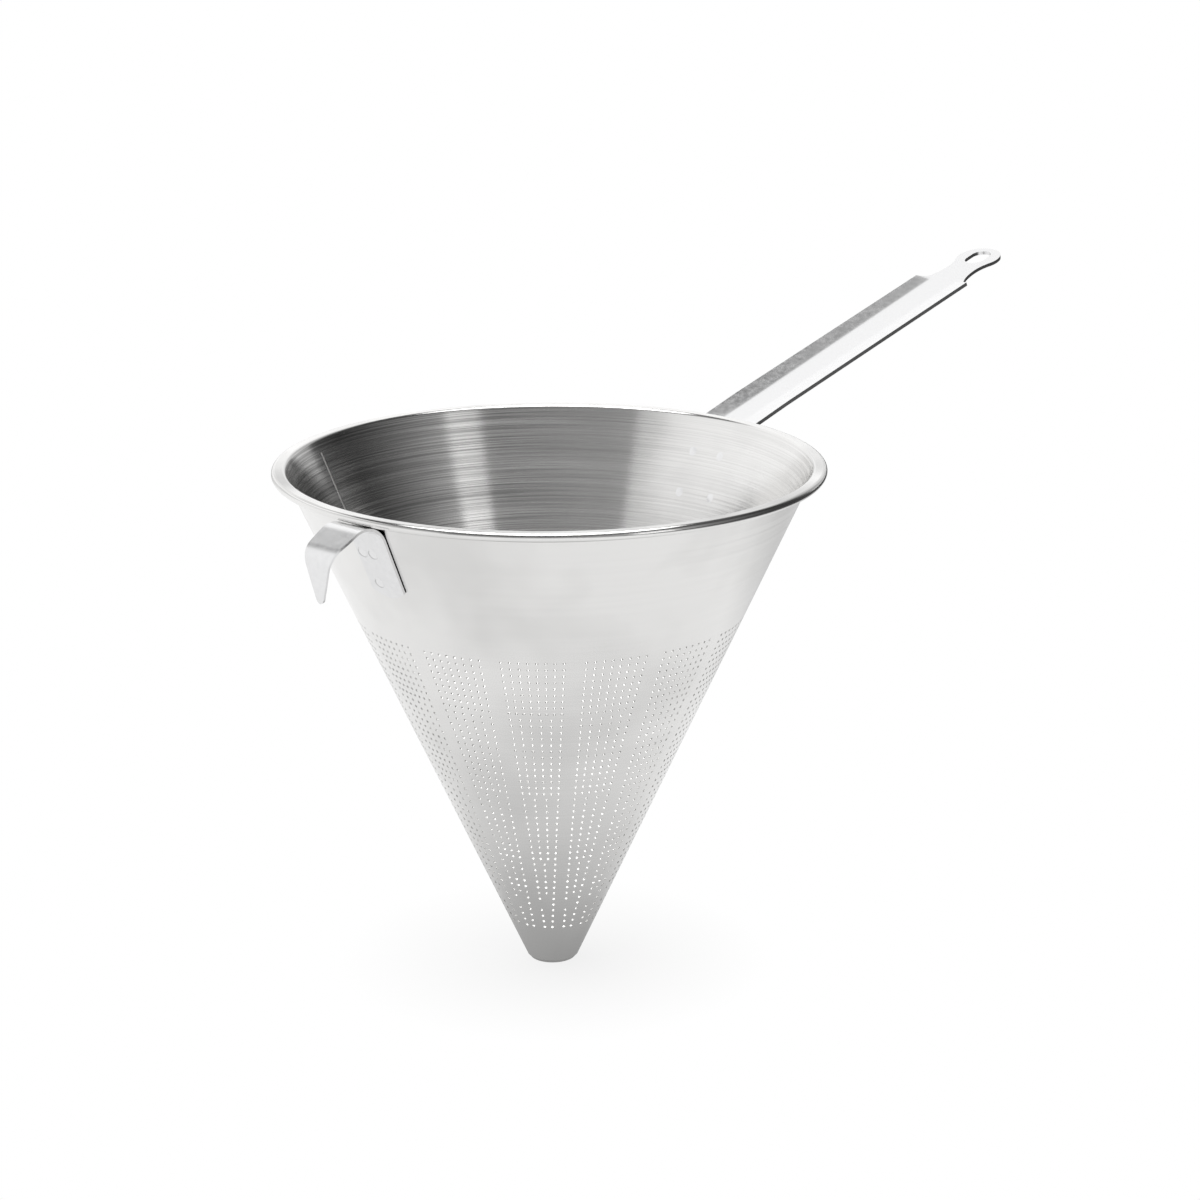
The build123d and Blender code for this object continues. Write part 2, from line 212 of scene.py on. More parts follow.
class Wall:
    """The cone's outer face: a point is at slant distance s from the apex, at a bearing, and at a depth
    measured inward along the wall's normal."""

    def __init__(self, sizes):
        self.a = sizes.half_angle
        self.sheet = sizes.sheet
        self.across = sizes.sheet / math.cos(self.a)
        self.apex = sizes.height - (sizes.mouth_radius + self.across) / math.tan(self.a)

    def slant(self, height):
        """Distance from the apex along the outer face, at a height."""
        return (height - self.apex) / math.cos(self.a)

    def radius(self, height):
        """Radius of the outer face at a height."""
        return (height - self.apex) * math.tan(self.a)

    def points(self, slant, bearing, depth):
        """Radius is s sin(a) less depth cos(a), height is the apex plus s cos(a) plus depth sin(a)."""
        r = slant * math.sin(self.a) - depth * math.cos(self.a)
        z = self.apex + slant * math.cos(self.a) + depth * math.sin(self.a)
        return np.stack(np.broadcast_arrays(r * np.cos(bearing), r * np.sin(bearing), z), -1)

    def normals(self, bearing):
        """The outward normal leans down by the half angle at every bearing."""
        c = math.cos(self.a)
        down = np.full_like(bearing, -math.sin(self.a))
        return np.stack([c * np.cos(bearing), c * np.sin(bearing), down], -1)

    def plane(self, slant, bearing):
        """Origin, way up the wall, way round it and way out of it, at one place."""
        lean = math.sin(self.a)
        up = np.array([lean * math.cos(bearing), lean * math.sin(bearing), math.cos(self.a)])
        out = self.normals(np.array(bearing))
        return self.points(slant, bearing, 0.0), up, np.cross(out, up), out


def write_mesh(name, points, loops, sizes):
    """A smooth mesh from points, the points of all face corners in order and the number of corners of
    each face. Points that no face uses are left out."""
    used, loops = np.unique(loops, return_inverse=True)
    mesh = bpy.data.meshes.new(name)
    mesh.vertices.add(len(used))
    mesh.vertices.foreach_set("co", points[used].astype(np.float32).ravel())
    mesh.loops.add(loops.size)
    mesh.loops.foreach_set("vertex_index", loops.astype(np.int32).ravel())
    mesh.polygons.add(len(sizes))
    mesh.polygons.foreach_set("loop_start", (np.cumsum(sizes) - sizes).astype(np.int32))
    mesh.polygons.foreach_set("use_smooth", np.ones(len(sizes), bool))
    mesh.update(calc_edges=True)
    return mesh


class Surface:
    """Collects vertices, faces and the normal of each face corner, and writes them as one mesh."""

    def __init__(self):
        self.points, self.faces, self.normals = [], [], []
        self.count = 0

    def add_points(self, points):
        """Takes a grid of points and returns the grid of their numbers."""
        flat = points.reshape(-1, 3)
        first = self.count
        self.points.append(flat)
        self.count += len(flat)
        return first + np.arange(len(flat)).reshape(points.shape[:-1])

    def add_faces(self, faces, normals, flip=False):
        """Takes faces as point numbers, with one normal for each corner. Flip turns them over."""
        corners = faces.shape[-1]
        faces = faces.reshape(-1, corners)
        normals = normals.reshape(-1, corners, 3)
        if flip:
            faces, normals = faces[:, ::-1], normals[:, ::-1]
        self.faces.append(faces)
        self.normals.append(normals)

    def piece(self, name):
        """Writes the mesh and its corner normals."""
        points = np.concatenate(self.points)
        loops = np.concatenate([f.ravel() for f in self.faces])
        sizes = np.concatenate([np.full(len(f), f.shape[1]) for f in self.faces])
        normals = np.concatenate([n.reshape(-1, 3) for n in self.normals])
        mesh = write_mesh(name, points, loops, sizes)
        mesh.normals_split_custom_set(normals.astype(np.float32))
        return mesh


def new_object(name, mesh, slot, material, *nodes):
    """Links a mesh as a piece that rides on the one body and stands for its nodes."""
    piece = bpy.data.objects.new(name, mesh)
    bpy.context.scene.collection.objects.link(piece)
    mesh.materials.append(material)
    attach(piece, "root")
    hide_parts(*nodes)
    return piece


def round_quads(first, second):
    """The corners of the quads between two rows of closed rings: a point of the first, the same point of
    the second, then the next point round each. Serves for point numbers and for normals."""
    return np.stack([first, second, np.roll(second, -1, 1), np.roll(first, -1, 1)], 2)


def grid_quads(rows, wide):
    """The quads of an open grid of rows, as point numbers, with the numbers of its points."""
    index = np.arange(rows * wide).reshape(rows, wide)
    quads = np.stack([index[:-1, :-1], index[1:, :-1], index[1:, 1:], index[:-1, 1:]], -1)
    return quads.reshape(-1, 4), index


def zipper(upper, upper_bearing, lower, lower_bearing):
    """Triangles between two closed rings: each edge takes the other ring's point that lies at its middle
    bearing. Returns the triangles and the bearing of each corner."""
    def closed(b):
        return np.append(b, b[0] + FULL_TURN)

    up, low = closed(upper_bearing), closed(lower_bearing)
    up_mid, low_mid = (up[1:] + up[:-1]) / 2, (low[1:] + low[:-1]) / 2
    at_low = np.searchsorted(low_mid, up_mid, "left")
    at_up = np.searchsorted(up_mid, low_mid, "right")
    nu, nl = len(upper), len(lower)
    i, j = np.arange(nu), np.arange(nl)
    over = np.stack([upper, lower[at_low % nl], np.roll(upper, -1)], -1)
    over_b = np.stack([up[i], low[at_low], up[i + 1]], -1)
    under = np.stack([lower, np.roll(lower, -1), upper[at_up % nu]], -1)
    under_b = np.stack([low[j], low[j + 1], up[at_up]], -1)
    return np.concatenate([over, under]), np.concatenate([over_b, under_b])


# First row, end row and holes in a row of each block of a panel
HOLE_GROUPS = ((0, 9, 8), (9, 22, 6), (22, 33, 4), (33, 39, 3), (39, 45, 2))
HOLE_SIDES = 8
# Row whose first hole in each panel isn't punched
SKIPPED_ROW = 40
# Between a block's outer row and its edge, as a share of the row pitch
BLOCK_MARGIN = 0.40
RIM_SEGMENTS = 300
# Rows and columns from a cell's middle to the grid points round it
CELL_STEPS = ((-1, 0), (-1, 1), (0, 1), (1, 1), (1, 0), (1, -1), (0, -1), (-1, -1))


def hole_group(surface, wall, sizes, first_row, end_row, columns):
    """One block of rows with the same number of holes. Each hole is an eight-sided ring inside its own
    cell, and the cells share a grid of slant levels and bearings. Returns the top and bottom rings of
    both faces with their bearings."""
    rows = np.arange(first_row, end_row)
    top = sizes.top_row - (first_row - BLOCK_MARGIN) * sizes.row_pitch
    bottom = sizes.top_row - (end_row - 1 + BLOCK_MARGIN) * sizes.row_pitch
    slants = sizes.top_row - rows * sizes.row_pitch
    mids = (slants[1:] + slants[:-1]) / 2
    levels = np.empty(2 * len(rows) + 1)
    levels[1::2] = slants
    levels[0], levels[-1] = top, bottom
    levels[2:-1:2] = mids
    edge = sizes.edge_start + sizes.edge_growth * (levels - sizes.edge_slant)
    half_panel = math.pi / sizes.panels
    spots = np.linspace(-1, 1, columns)
    hole_angle = edge[:, None] * spots / (levels[:, None] * math.sin(wall.a))
    between = (hole_angle[:, 1:] + hole_angle[:, :-1]) / 2
    columns_angle = np.empty((len(levels), 2 * columns))
    columns_angle[:, 1::2] = hole_angle
    columns_angle[:, 0] = -half_panel
    columns_angle[:, 2::2] = between
    middles = sizes.first_panel + 2 * half_panel * np.arange(sizes.panels)
    bearing = (middles[None, :, None] + columns_angle[:, None, :]).reshape(len(levels), -1)

    # Hole rings, at an eighth of a turn from each other
    turn = np.arange(HOLE_SIDES) * FULL_TURN / HOLE_SIDES
    radius = sizes.hole_diameter / 2
    centre_s = levels[1::2, None, None]
    centre_b = bearing[1::2, 1::2, None]
    ring_s = centre_s + radius * np.cos(turn)
    ring_b = centre_b + radius * np.sin(turn) / (centre_s * math.sin(wall.a))
    ring_s = np.broadcast_to(ring_s, ring_b.shape)

    solid = np.zeros(ring_b.shape[:2], bool)
    if first_row <= SKIPPED_ROW < end_row:
        solid[SKIPPED_ROW - first_row, 0::columns] = True
    pierced = ~solid

    ends = []
    hole_rings = []
    wide = bearing.shape[1]
    r, c = np.meshgrid(1 + 2 * np.arange(len(rows)), 1 + 2 * np.arange(wide // 2), indexing="ij")
    steps = np.array(CELL_STEPS)
    cell_r = r[..., None] + steps[:, 0]
    cell_c = (c[..., None] + steps[:, 1]) % wide
    for depth, flip in ((0.0, False), (wall.sheet, True)):
        grid = surface.add_points(wall.points(levels[:, None], bearing, depth))
        ring = surface.add_points(wall.points(ring_s, ring_b, depth))
        cell = grid[cell_r, cell_c]
        cell_b = bearing[cell_r, cell_c]
        cell_b = cell_b + FULL_TURN * np.round((ring_b - cell_b) / FULL_TURN)
        quads = np.stack([ring, np.roll(ring, -1, 2), np.roll(cell, -1, 2), cell], -1)
        quads_b = np.stack([ring_b, np.roll(ring_b, -1, 2), np.roll(cell_b, -1, 2), cell_b], -1)
        sign = -1 if flip else 1
        surface.add_faces(quads, sign * wall.normals(quads_b), flip)
        if solid.any():
            lids = ring[solid][:, ::-1]
            surface.add_faces(lids, sign * wall.normals(ring_b[solid][:, ::-1]), flip)
        ends.append((grid[0], grid[-1]))
        hole_rings.append(ring)
    outer, inner = (h[pierced] for h in hole_rings)
    b, lean = ring_b[pierced], math.sin(wall.a)
    up = np.stack([lean * np.cos(b), lean * np.sin(b), np.full_like(b, math.cos(wall.a))], -1)
    side = np.stack([-np.sin(b), np.cos(b), np.zeros_like(b)], -1)
    inward = -(up * np.cos(turn)[None, :, None] + side * np.sin(turn)[None, :, None])
    surface.add_faces(round_quads(outer, inner), round_quads(inward, inward))
    return (top, bottom), (bearing[0], bearing[-1]), ends


# Points on the four arcs of the curl's section, in its order
CURL_STEPS = (5, 7, 13, 8)


def curl_profile(sizes, wall):
    """Radius, height and normal of the rim's section, from the outer wall under the curl, round the
    hollow, the lip and the outside of the curl, to the inner wall. Arcs turn about the curl's two
    centres."""
    a, sheet, big = wall.a, wall.sheet, sizes.curl_radius
    small = big - sheet
    near = sizes.mouth_radius + big * (1 - math.sin(a)) / math.cos(a)
    far = sizes.bead_radius - big
    level = sizes.height - big
    lip = wall.radius(sizes.height - 2 * big) + sizes.curl_gap

    def arc(centre, radius, start, end, steps):
        t = np.linspace(start, end, steps)
        normal = np.stack([np.cos(t), np.sin(t)], -1)
        return np.array([centre, level]) + radius * normal, normal

    first, top = math.pi - a, math.pi / 2
    hollow_turn, n1 = arc(near, small, first, top, CURL_STEPS[0])
    hollow_end, n2 = arc(far, small, top, -top, CURL_STEPS[1])
    lip_top = np.array([[far, level - small], [lip, level - small]])
    lip_edge = np.array([[lip, level - small], [lip, level - big]])
    lip_under = np.array([[lip, level - big], [far, level - big]])
    outside, n3 = arc(far, big, -top, top, CURL_STEPS[2])
    top_turn, n4 = arc(near, big, top, first, CURL_STEPS[3])
    down, up, left = np.array([0.0, -1.0]), np.array([0.0, 1.0]), np.array([-1.0, 0.0])
    return [
        (hollow_turn, -n1),
        (np.array([hollow_turn[-1], hollow_end[0]]), np.array([down, down])),
        (hollow_end, -n2),
        (lip_top, np.array([up, up])),
        (lip_edge, np.array([left, left])),
        (lip_under, np.array([down, down])),
        (outside, n3),
        (np.array([outside[-1], top_turn[0]]), np.array([up, up])),
        (top_turn, n4),
    ]


def revolve(surface, parts, segments, join_first=None, join_last=None):
    """Carries each part of a section round the axis: a point's place is its radius times the cosine and
    sine of the bearing, at its height. Neighbouring parts share the ring where they meet. Returns the
    first and last rings."""
    bearing = np.arange(segments) * FULL_TURN / segments
    cos, sin = np.cos(bearing), np.sin(bearing)
    ring = join_first
    first = None
    for number, (section, normal) in enumerate(parts):
        last_part = number == len(parts) - 1
        r, z = section[:, 0, None], section[:, 1, None]
        points = np.stack(np.broadcast_arrays(r * cos, r * sin, z), -1)
        new = points[1:] if ring is not None else points
        if last_part and join_last is not None:
            rings = surface.add_points(new[:-1])
            rings = np.concatenate([rings, join_last[None]])
        else:
            rings = surface.add_points(new)
        if ring is not None:
            rings = np.concatenate([ring[None], rings])
        if first is None:
            first = rings[0]
        n = np.stack(
            np.broadcast_arrays(normal[:, 0, None] * cos, normal[:, 0, None] * sin, normal[:, 1, None]), -1
        )
        surface.add_faces(round_quads(rings[1:], rings[:-1]), round_quads(n[1:], n[:-1]))
        ring = rings[-1]
    return first, ring


# Materials


# Detail and roughness of a plain noise, and the middle part of its range
PLAIN_DETAIL = 3.0
PLAIN_NOISE = 0.6
NOISE_MIDDLE = (0.3, 0.7)


class Shader:
    """Short calls for building the nodes of one material or world."""

    def __init__(self, owner, coordinates="Object"):
        owner.use_nodes = True
        self.material = owner
        self.nodes = owner.node_tree.nodes
        self.links = owner.node_tree.links
        self.main = self.nodes.get("Principled BSDF")
        self.place = self.nodes.new("ShaderNodeTexCoord").outputs[coordinates]

    def link(self, source, socket):
        self.links.new(source, socket)

    def node(self, kind, inputs=(), **settings):
        """A node with its settings, and its inputs set or linked."""
        made = self.nodes.new(kind)
        for key, value in settings.items():
            setattr(made, key, value)
        for key, value in dict(inputs).items():
            if isinstance(value, bpy.types.NodeSocket):
                self.link(value, made.inputs[key])
            else:
                made.inputs[key].default_value = value
        return made

    def math(self, operation, first, second):
        return self.node("ShaderNodeMath", {0: first, 1: second}, operation=operation).outputs[0]

    def vector(self, operation, first, second=(0.0, 0.0, 0.0), output="Vector"):
        made = self.node("ShaderNodeVectorMath", {0: first, 1: second}, operation=operation)
        return made.outputs[output]

    def part(self, vector, axis):
        return self.node("ShaderNodeSeparateXYZ", {0: vector}).outputs[axis]

    def blend(self, fac, first, second):
        """A number between two others."""
        return self.node("ShaderNodeMix", {0: fac, 2: first, 3: second}, data_type="FLOAT").outputs[0]

    def stretched(self, scale):
        """Object coordinates, scaled apart along each axis."""
        return self.node("ShaderNodeMapping", {"Vector": self.place, "Scale": scale}).outputs["Vector"]

    def noise(self, scale, vector, detail=PLAIN_DETAIL, rough=PLAIN_NOISE):
        return self.node(
            "ShaderNodeTexNoise", {"Vector": vector, "Scale": scale, "Detail": detail, "Roughness": rough}
        ).outputs["Fac"]

    def between(self, fac, low, high, out_low, out_high):
        """Carries low and high to their two results, straight between and level outside."""
        return self.node(
            "ShaderNodeMapRange",
            {"Value": fac, "From Min": low, "From Max": high, "To Min": out_low, "To Max": out_high},
        ).outputs["Result"]

    def mix(self, fac, first, second):
        """A colour between two others."""
        colours = {0: fac, 6: (*first, 1), 7: (*second, 1)}
        return self.node("ShaderNodeMix", colours, data_type="RGBA").outputs[2]

    def ramp(self, fac, stops):
        """A level read off straight lines between stops."""
        made = self.node("ShaderNodeValToRGB", {0: fac})
        elements = made.color_ramp.elements
        while len(elements) < len(stops):
            elements.new(0.5)
        for element, (position, level) in zip(elements, stops):
            element.position = position
            element.color = (level, level, level, 1)
        return made.outputs[0]

    def bump(self, height, strength, distance):
        """A bump on the main shader, whose strength is a number or a socket."""
        made = self.node("ShaderNodeBump", {"Height": height, "Strength": strength, "Distance": distance})
        self.link(made.outputs["Normal"], self.main.inputs["Normal"])

    def mottled(self, pattern, darkest, base, smooth, rough):
        """Colour and roughness that both follow one noise over its middle part."""
        shade = self.between(pattern, *NOISE_MIDDLE, 0.0, 1.0)
        self.link(self.mix(shade, darkest, base), self.main.inputs["Base Color"])
        self.link(self.between(pattern, *NOISE_MIDDLE, smooth, rough), self.main.inputs["Roughness"])


def metal(name):
    """A new material whose main shader is bare metal."""
    s = Shader(bpy.data.materials.new(name))
    s.main.inputs["Metallic"].default_value = 1.0
    return s


def darker(value, share):
    return tuple(c * share for c in value)


# Brushed sheet: the shine's stretch and its quarter turn
SHEET_STRETCH = 0.85
STRETCH_TURN = 0.25
# Scales of the brush lines: long round the cone, short up the wall. Noise values of a full line and of
# none, and how rough the noise is.
FINE_LINES = (9.0, 9.0, 1900.0)
COARSE_LINES = (6.0, 6.0, 800.0)
LINE_SPAN = (0.4, 0.58)
LINE_NOISE = 0.65
LINE_BUMP = 0.5
LINE_HEIGHT = 0.06 * MM
# Upward part of the normal that tells the inside from the outside, and cosine of the bearing over which
# the painted shade that the lines carry on the inside grows faint towards the handle
INSIDE_SPAN = (0.2, 0.3)
HANDLE_SPAN = (0.6, 0.85)
# Most that a line darkens the inside as painted shade, away from the handle and near it
LINE_SHADE_DEPTH = (0.42, 0.08)
CLOUD_SCALE = 17.0
CLOUD_NOISE = 0.55
CLOUD_SPAN = (0.42, 0.7)
CLOUD_DEPTH = 0.12
SHEET_ROUGHNESS = (0.15, 0.22)
CLOUD_ROUGH_SPAN = (0.35, 0.65)
CLOUD_ROUGHNESS = (-0.01, 0.03)
# Heights between which the lines fade out into the polished rim, and its roughness
RIM_POLISH = (195.5 * MM, 197.2 * MM)
RIM_ROUGHNESS = 0.18
# Satin strip: mottling, then lines along it
MOTTLE_SCALE = 420.0
FINE_DETAIL = 4.0
MOTTLE_SHADE = 0.93
STRIP_ROUGHNESS = (0.17, 0.26)
STRIP_LINES = (25.0, 900.0, 900.0)
STRIP_BUMP = 0.12
STRIP_HEIGHT = 0.05 * MM
# Spot weld marks: how much of the painted shade on the ring shows where the noise is low and high, and how
# dark it is
RING_SHADE_SCALE = 700.0
RING_SHADE_SHARE = (0.45, 0.8)
RING_SHADE_DARKNESS = 0.35
MARK_ROUGHNESS = 0.25
# Cap and weld metal
CAP_LINES = (900.0, 900.0, 40.0)
CAP_SHADE = 0.9
CAP_ROUGHNESS = (0.28, 0.4)
RIPPLE_SCALE = 900.0
RIPPLE_SHADE = 0.9
RIPPLE_BUMP = 0.2
RIPPLE_HEIGHT = 0.08 * MM
WELD_ROUGHNESS = (0.3, 0.42)


def sheet_steel(finish):
    """Rolled sheet with fine brush lines round the cone and faint clouding. The tangent is level: the
    axis crossed with the place, so the shine stretches up and down. On the inside, whose normal points
    up, the lines also darken the colour as painted shade. This painted shade is deepest away from the
    handle, and the tangent's Y part is the cosine of the bearing."""
    s = metal("brushed_sheet")
    s.main.inputs["Anisotropic"].default_value = SHEET_STRETCH
    s.main.inputs["Anisotropic Rotation"].default_value = STRETCH_TURN
    tangent = s.vector("NORMALIZE", s.vector("CROSS_PRODUCT", (0.0, 0.0, 1.0), s.place))
    s.link(tangent, s.main.inputs["Tangent"])
    lines = s.noise(1.0, s.stretched(FINE_LINES), rough=LINE_NOISE)
    coarse = s.noise(1.0, s.stretched(COARSE_LINES), rough=LINE_NOISE)
    clouds = s.noise(CLOUD_SCALE, s.place, rough=CLOUD_NOISE)
    upward = s.part(s.node("ShaderNodeNewGeometry").outputs["Normal"], "Z")
    inside = s.between(upward, *INSIDE_SPAN, 0.0, 1.0)
    # Painted shade: the lines darken the inside's colour, most away from the handle
    depth = s.between(s.part(tangent, "Y"), *HANDLE_SPAN, *LINE_SHADE_DEPTH)
    painted_shade_lines = s.math("MULTIPLY", s.between(lines, *LINE_SPAN, 1.0, 0.0), inside)
    painted_shade_lines = s.math("MULTIPLY", painted_shade_lines, depth)
    clouds_and_painted_shade = s.math("ADD", s.between(clouds, *CLOUD_SPAN, 0.0, CLOUD_DEPTH), painted_shade_lines)
    s.link(s.mix(clouds_and_painted_shade, tuple(finish.sheet_colour), (0.0, 0.0, 0.0)), s.main.inputs["Base Color"])
    lined = s.between(coarse, *NOISE_MIDDLE, *SHEET_ROUGHNESS)
    rough = s.math("ADD", lined, s.between(clouds, *CLOUD_ROUGH_SPAN, *CLOUD_ROUGHNESS))
    height = s.part(s.place, "Z")
    polished = s.between(height, *RIM_POLISH, 0.0, 1.0)
    s.link(s.blend(polished, rough, RIM_ROUGHNESS), s.main.inputs["Roughness"])
    s.bump(s.math("ADD", lines, coarse), s.between(height, *RIM_POLISH, LINE_BUMP, 0.0), LINE_HEIGHT)
    return s.material


def strip_steel(name, finish):
    """Satin strip with fine mottling and faint lines along it."""
    s = metal(name)
    base = tuple(finish.strip_colour)
    mottle = s.noise(MOTTLE_SCALE, s.place, FINE_DETAIL)
    s.mottled(mottle, darker(base, MOTTLE_SHADE), base, *STRIP_ROUGHNESS)
    s.bump(s.noise(1.0, s.stretched(STRIP_LINES)), STRIP_BUMP, STRIP_HEIGHT)
    return s.material


def mark_steel(finish):
    """The strip's own metal with painted shade along one side of the ring that is pressed up."""
    s = metal("spot_weld_marks")
    s.main.inputs["Roughness"].default_value = MARK_ROUGHNESS
    ring_shade = s.node("ShaderNodeAttribute", attribute_name="ring_shade").outputs["Fac"]
    uneven = s.noise(RING_SHADE_SCALE, s.place)
    # Painted shade: darkens the ring where the attribute is high
    depth = s.math("MULTIPLY", ring_shade, s.between(uneven, *NOISE_MIDDLE, *RING_SHADE_SHARE))
    base = tuple(finish.strip_colour)
    s.link(s.mix(depth, base, darker(base, RING_SHADE_DARKNESS)), s.main.inputs["Base Color"])
    return s.material


def cap_steel(finish):
    """Pressed cup with a slightly darker drawn surface."""
    s = metal("drawn_cap")
    base = darker(tuple(finish.sheet_colour), CAP_SHADE)
    lines = s.noise(1.0, s.stretched(CAP_LINES), FINE_DETAIL)
    s.mottled(lines, darker(base, CAP_SHADE), base, *CAP_ROUGHNESS)
    return s.material


def weld_steel(finish):
    """Weld metal: darker and rougher, with small ripples."""
    s = metal("weld_metal")
    ripple = s.noise(RIPPLE_SCALE, s.place)
    base = tuple(finish.weld_colour)
    s.mottled(ripple, darker(base, RIPPLE_SHADE), base, *WELD_ROUGHNESS)
    s.bump(ripple, RIPPLE_BUMP, RIPPLE_HEIGHT)
    return s.material


# Operators, one for each piece or group of like pieces


# Rings of the plain wall above the holes
PLAIN_RINGS = 3


class STRAINER_OT_cone(Operator):
    """Build the perforated cone with its rolled rim"""

    bl_idname = "strainer.cone"
    bl_label = "Perforated cone"

    def execute(self, context):
        sizes = context.scene.strainer_cone
        wall = Wall(sizes)
        surface = Surface()
        groups = [hole_group(surface, wall, sizes, *g) for g in HOLE_GROUPS]
        rim_bearing = np.arange(RIM_SEGMENTS) * FULL_TURN / RIM_SEGMENTS
        parts = curl_profile(sizes, wall)
        start = parts[0][0][0]
        end = parts[-1][0][-1]
        top_slant = groups[0][0][0]
        plain_slants = np.linspace(top_slant + 2 * sizes.row_pitch, wall.slant(start[1]), PLAIN_RINGS + 1)

        def shifted(bearing, reference):
            """Turns a ring's bearings by whole turns so that it starts near the reference."""
            return bearing + FULL_TURN * round((reference[0] - bearing[0]) / FULL_TURN)

        def align(ring, bearing, reference):
            """Rolls a ring so that its first point is the nearest to the reference's first."""
            gap = np.abs((bearing - reference[0] + math.pi) % FULL_TURN - math.pi)
            k = int(gap.argmin())
            rolled = np.concatenate([bearing[k:], bearing[:k] + FULL_TURN])
            return np.roll(ring, -k), shifted(rolled, reference)

        # Both faces: plain wall above the holes, then the blocks, zipped together ring to ring
        top_rings = []
        for face, flip, sign in ((0, False, 1), (1, True, -1)):
            depth = face * wall.sheet
            rings = surface.add_points(wall.points(plain_slants[:-1, None], rim_bearing[None], depth))
            quads = round_quads(rings[1:], rings[:-1])
            next_b = rim_bearing + FULL_TURN / RIM_SEGMENTS
            corner_b = np.stack([rim_bearing, rim_bearing, next_b, next_b], -1)
            corner_b = np.broadcast_to(corner_b, quads.shape)
            surface.add_faces(quads, sign * wall.normals(corner_b), flip)
            lower, lower_b = groups[0][2][face][0], groups[0][1][0]
            upper, upper_b = align(rings[0], rim_bearing, lower_b)
            tris, tri_b = zipper(upper, upper_b, lower, lower_b)
            surface.add_faces(tris, sign * wall.normals(tri_b), flip)
            for above, below in zip(groups, groups[1:]):
                lower, lower_b = below[2][face][0], below[1][0]
                upper, upper_b = above[2][face][1], above[1][1]
                tris, tri_b = zipper(upper, upper_b, lower, lower_b)
                surface.add_faces(tris, sign * wall.normals(tri_b), flip)
            top_rings.append(rings[-1])

        # The plain foot under the last row, and its end face on the cap
        foot_b = groups[-1][1][1]
        foot_slant = np.array([groups[-1][0][1] - 2 * sizes.row_pitch, wall.slant(sizes.foot_height)])
        feet = []
        next_b = np.append(foot_b[1:], foot_b[0] + FULL_TURN)
        for face, flip, sign in ((0, False, 1), (1, True, -1)):
            above = groups[-1][2][face][1]
            slants = foot_slant - (0 if face == 0 else wall.sheet * math.tan(wall.a)) * np.array([0, 1])
            rings = surface.add_points(wall.points(slants[:, None], foot_b[None], face * wall.sheet))
            rings = np.concatenate([above[None], rings])
            quads = round_quads(rings[:-1], rings[1:])
            corner_b = np.broadcast_to(np.stack([foot_b, foot_b, next_b, next_b], -1), quads.shape)
            surface.add_faces(quads, sign * wall.normals(corner_b), flip)
            feet.append(rings[-1])
        quads = round_quads(feet[0][None], feet[1][None])
        surface.add_faces(quads, np.broadcast_to([0.0, 0.0, -1.0], (*quads.shape, 3)))

        # The curl joins the two faces over the rim
        c, s = math.cos(wall.a), math.sin(wall.a)
        out_n, in_n = np.array([c, -s]), np.array([-c, s])
        lead_in = (np.array([[0.0, 0.0], start]), np.array([out_n, out_n]))
        lead_out = (np.array([end, [0.0, 0.0]]), np.array([in_n, in_n]))
        revolve(
            surface, [lead_in, *parts, lead_out], RIM_SEGMENTS,
            join_first=top_rings[0], join_last=top_rings[1],
        )
        mesh = surface.piece("perforated_cone")
        finish = sheet_steel(context.scene.strainer_finish)
        new_object("perforated_cone", mesh, "perforated_sheet", finish, "strainer_cone")
        return {"FINISHED"}


CAP_SEGMENTS = 96
CAP_EDGE_STEPS = 9
# Points on the straight runs of the cap's section
CAP_FLOOR_STEPS = 4
CAP_SKIRT_STEPS = 3
# Radius of the small flats that close the cap's two poles
POLE_RADIUS = 0.01 * MM


class STRAINER_OT_cap(Operator):
    """Build the pressed cap that closes the tip"""

    bl_idname = "strainer.cap"
    bl_label = "Tip cap"

    def execute(self, context):
        sizes, cone = context.scene.strainer_cap, context.scene.strainer_cone
        wall = Wall(cone)
        edge, sheet = sizes.edge_radius, wall.across
        a = wall.a
        # The section, from the pole under the floor round the shoulder and the skirt to the pole inside
        floor_r = wall.radius(0.0) - edge
        t = np.linspace(-math.pi / 2, -a, CAP_EDGE_STEPS)
        arc = np.stack([floor_r + edge * np.cos(t), edge + edge * np.sin(t)], -1)
        arc_n = np.stack([np.cos(t), np.sin(t)], -1)
        shoulder = np.array([wall.radius(cone.foot_height), cone.foot_height])
        ledge = shoulder - [sheet, 0]
        skirt = np.array([wall.radius(sizes.skirt_height) - sheet, sizes.skirt_height])
        skirt_in = skirt - [sizes.thickness, 0]
        well = np.array([wall.radius(sizes.thickness) - sheet - sizes.thickness, sizes.thickness])
        out_n, in_n = np.array([math.cos(a), -math.sin(a)]), np.array([-math.cos(a), math.sin(a)])
        up, down = np.array([0.0, 1.0]), np.array([0.0, -1.0])

        def run(start, end, normal, steps=2):
            """A straight part of the section with one normal."""
            share = np.linspace(0, 1, steps)[:, None]
            return start + (end - start) * share, np.tile(normal, (steps, 1))

        parts = [
            run(np.array([POLE_RADIUS, 0.0]), arc[0], down, CAP_FLOOR_STEPS),
            (arc, arc_n),
            run(arc[-1], shoulder, out_n),
            run(shoulder, ledge, up),
            run(ledge, skirt, out_n, CAP_SKIRT_STEPS),
            run(skirt, skirt_in, up),
            run(skirt_in, well, in_n, CAP_SKIRT_STEPS),
            run(well, np.array([POLE_RADIUS, sizes.thickness]), up, CAP_FLOOR_STEPS),
        ]
        surface = Surface()
        first, last = revolve(surface, parts, CAP_SEGMENTS)
        for ring, normal, flip in ((first, down, True), (last, up, False)):
            flat = np.array([0.0, 0.0, normal[1]])
            surface.add_faces(ring[None], np.ones((1, len(ring), 1)) * flat, flip)
        mesh = surface.piece("closing_cap")
        new_object("closing_cap", mesh, "cap_steel", cap_steel(context.scene.strainer_finish), "tip_cap")
        return {"FINISHED"}


SEAM_STATIONS = 420
SEAM_SIDES = 16
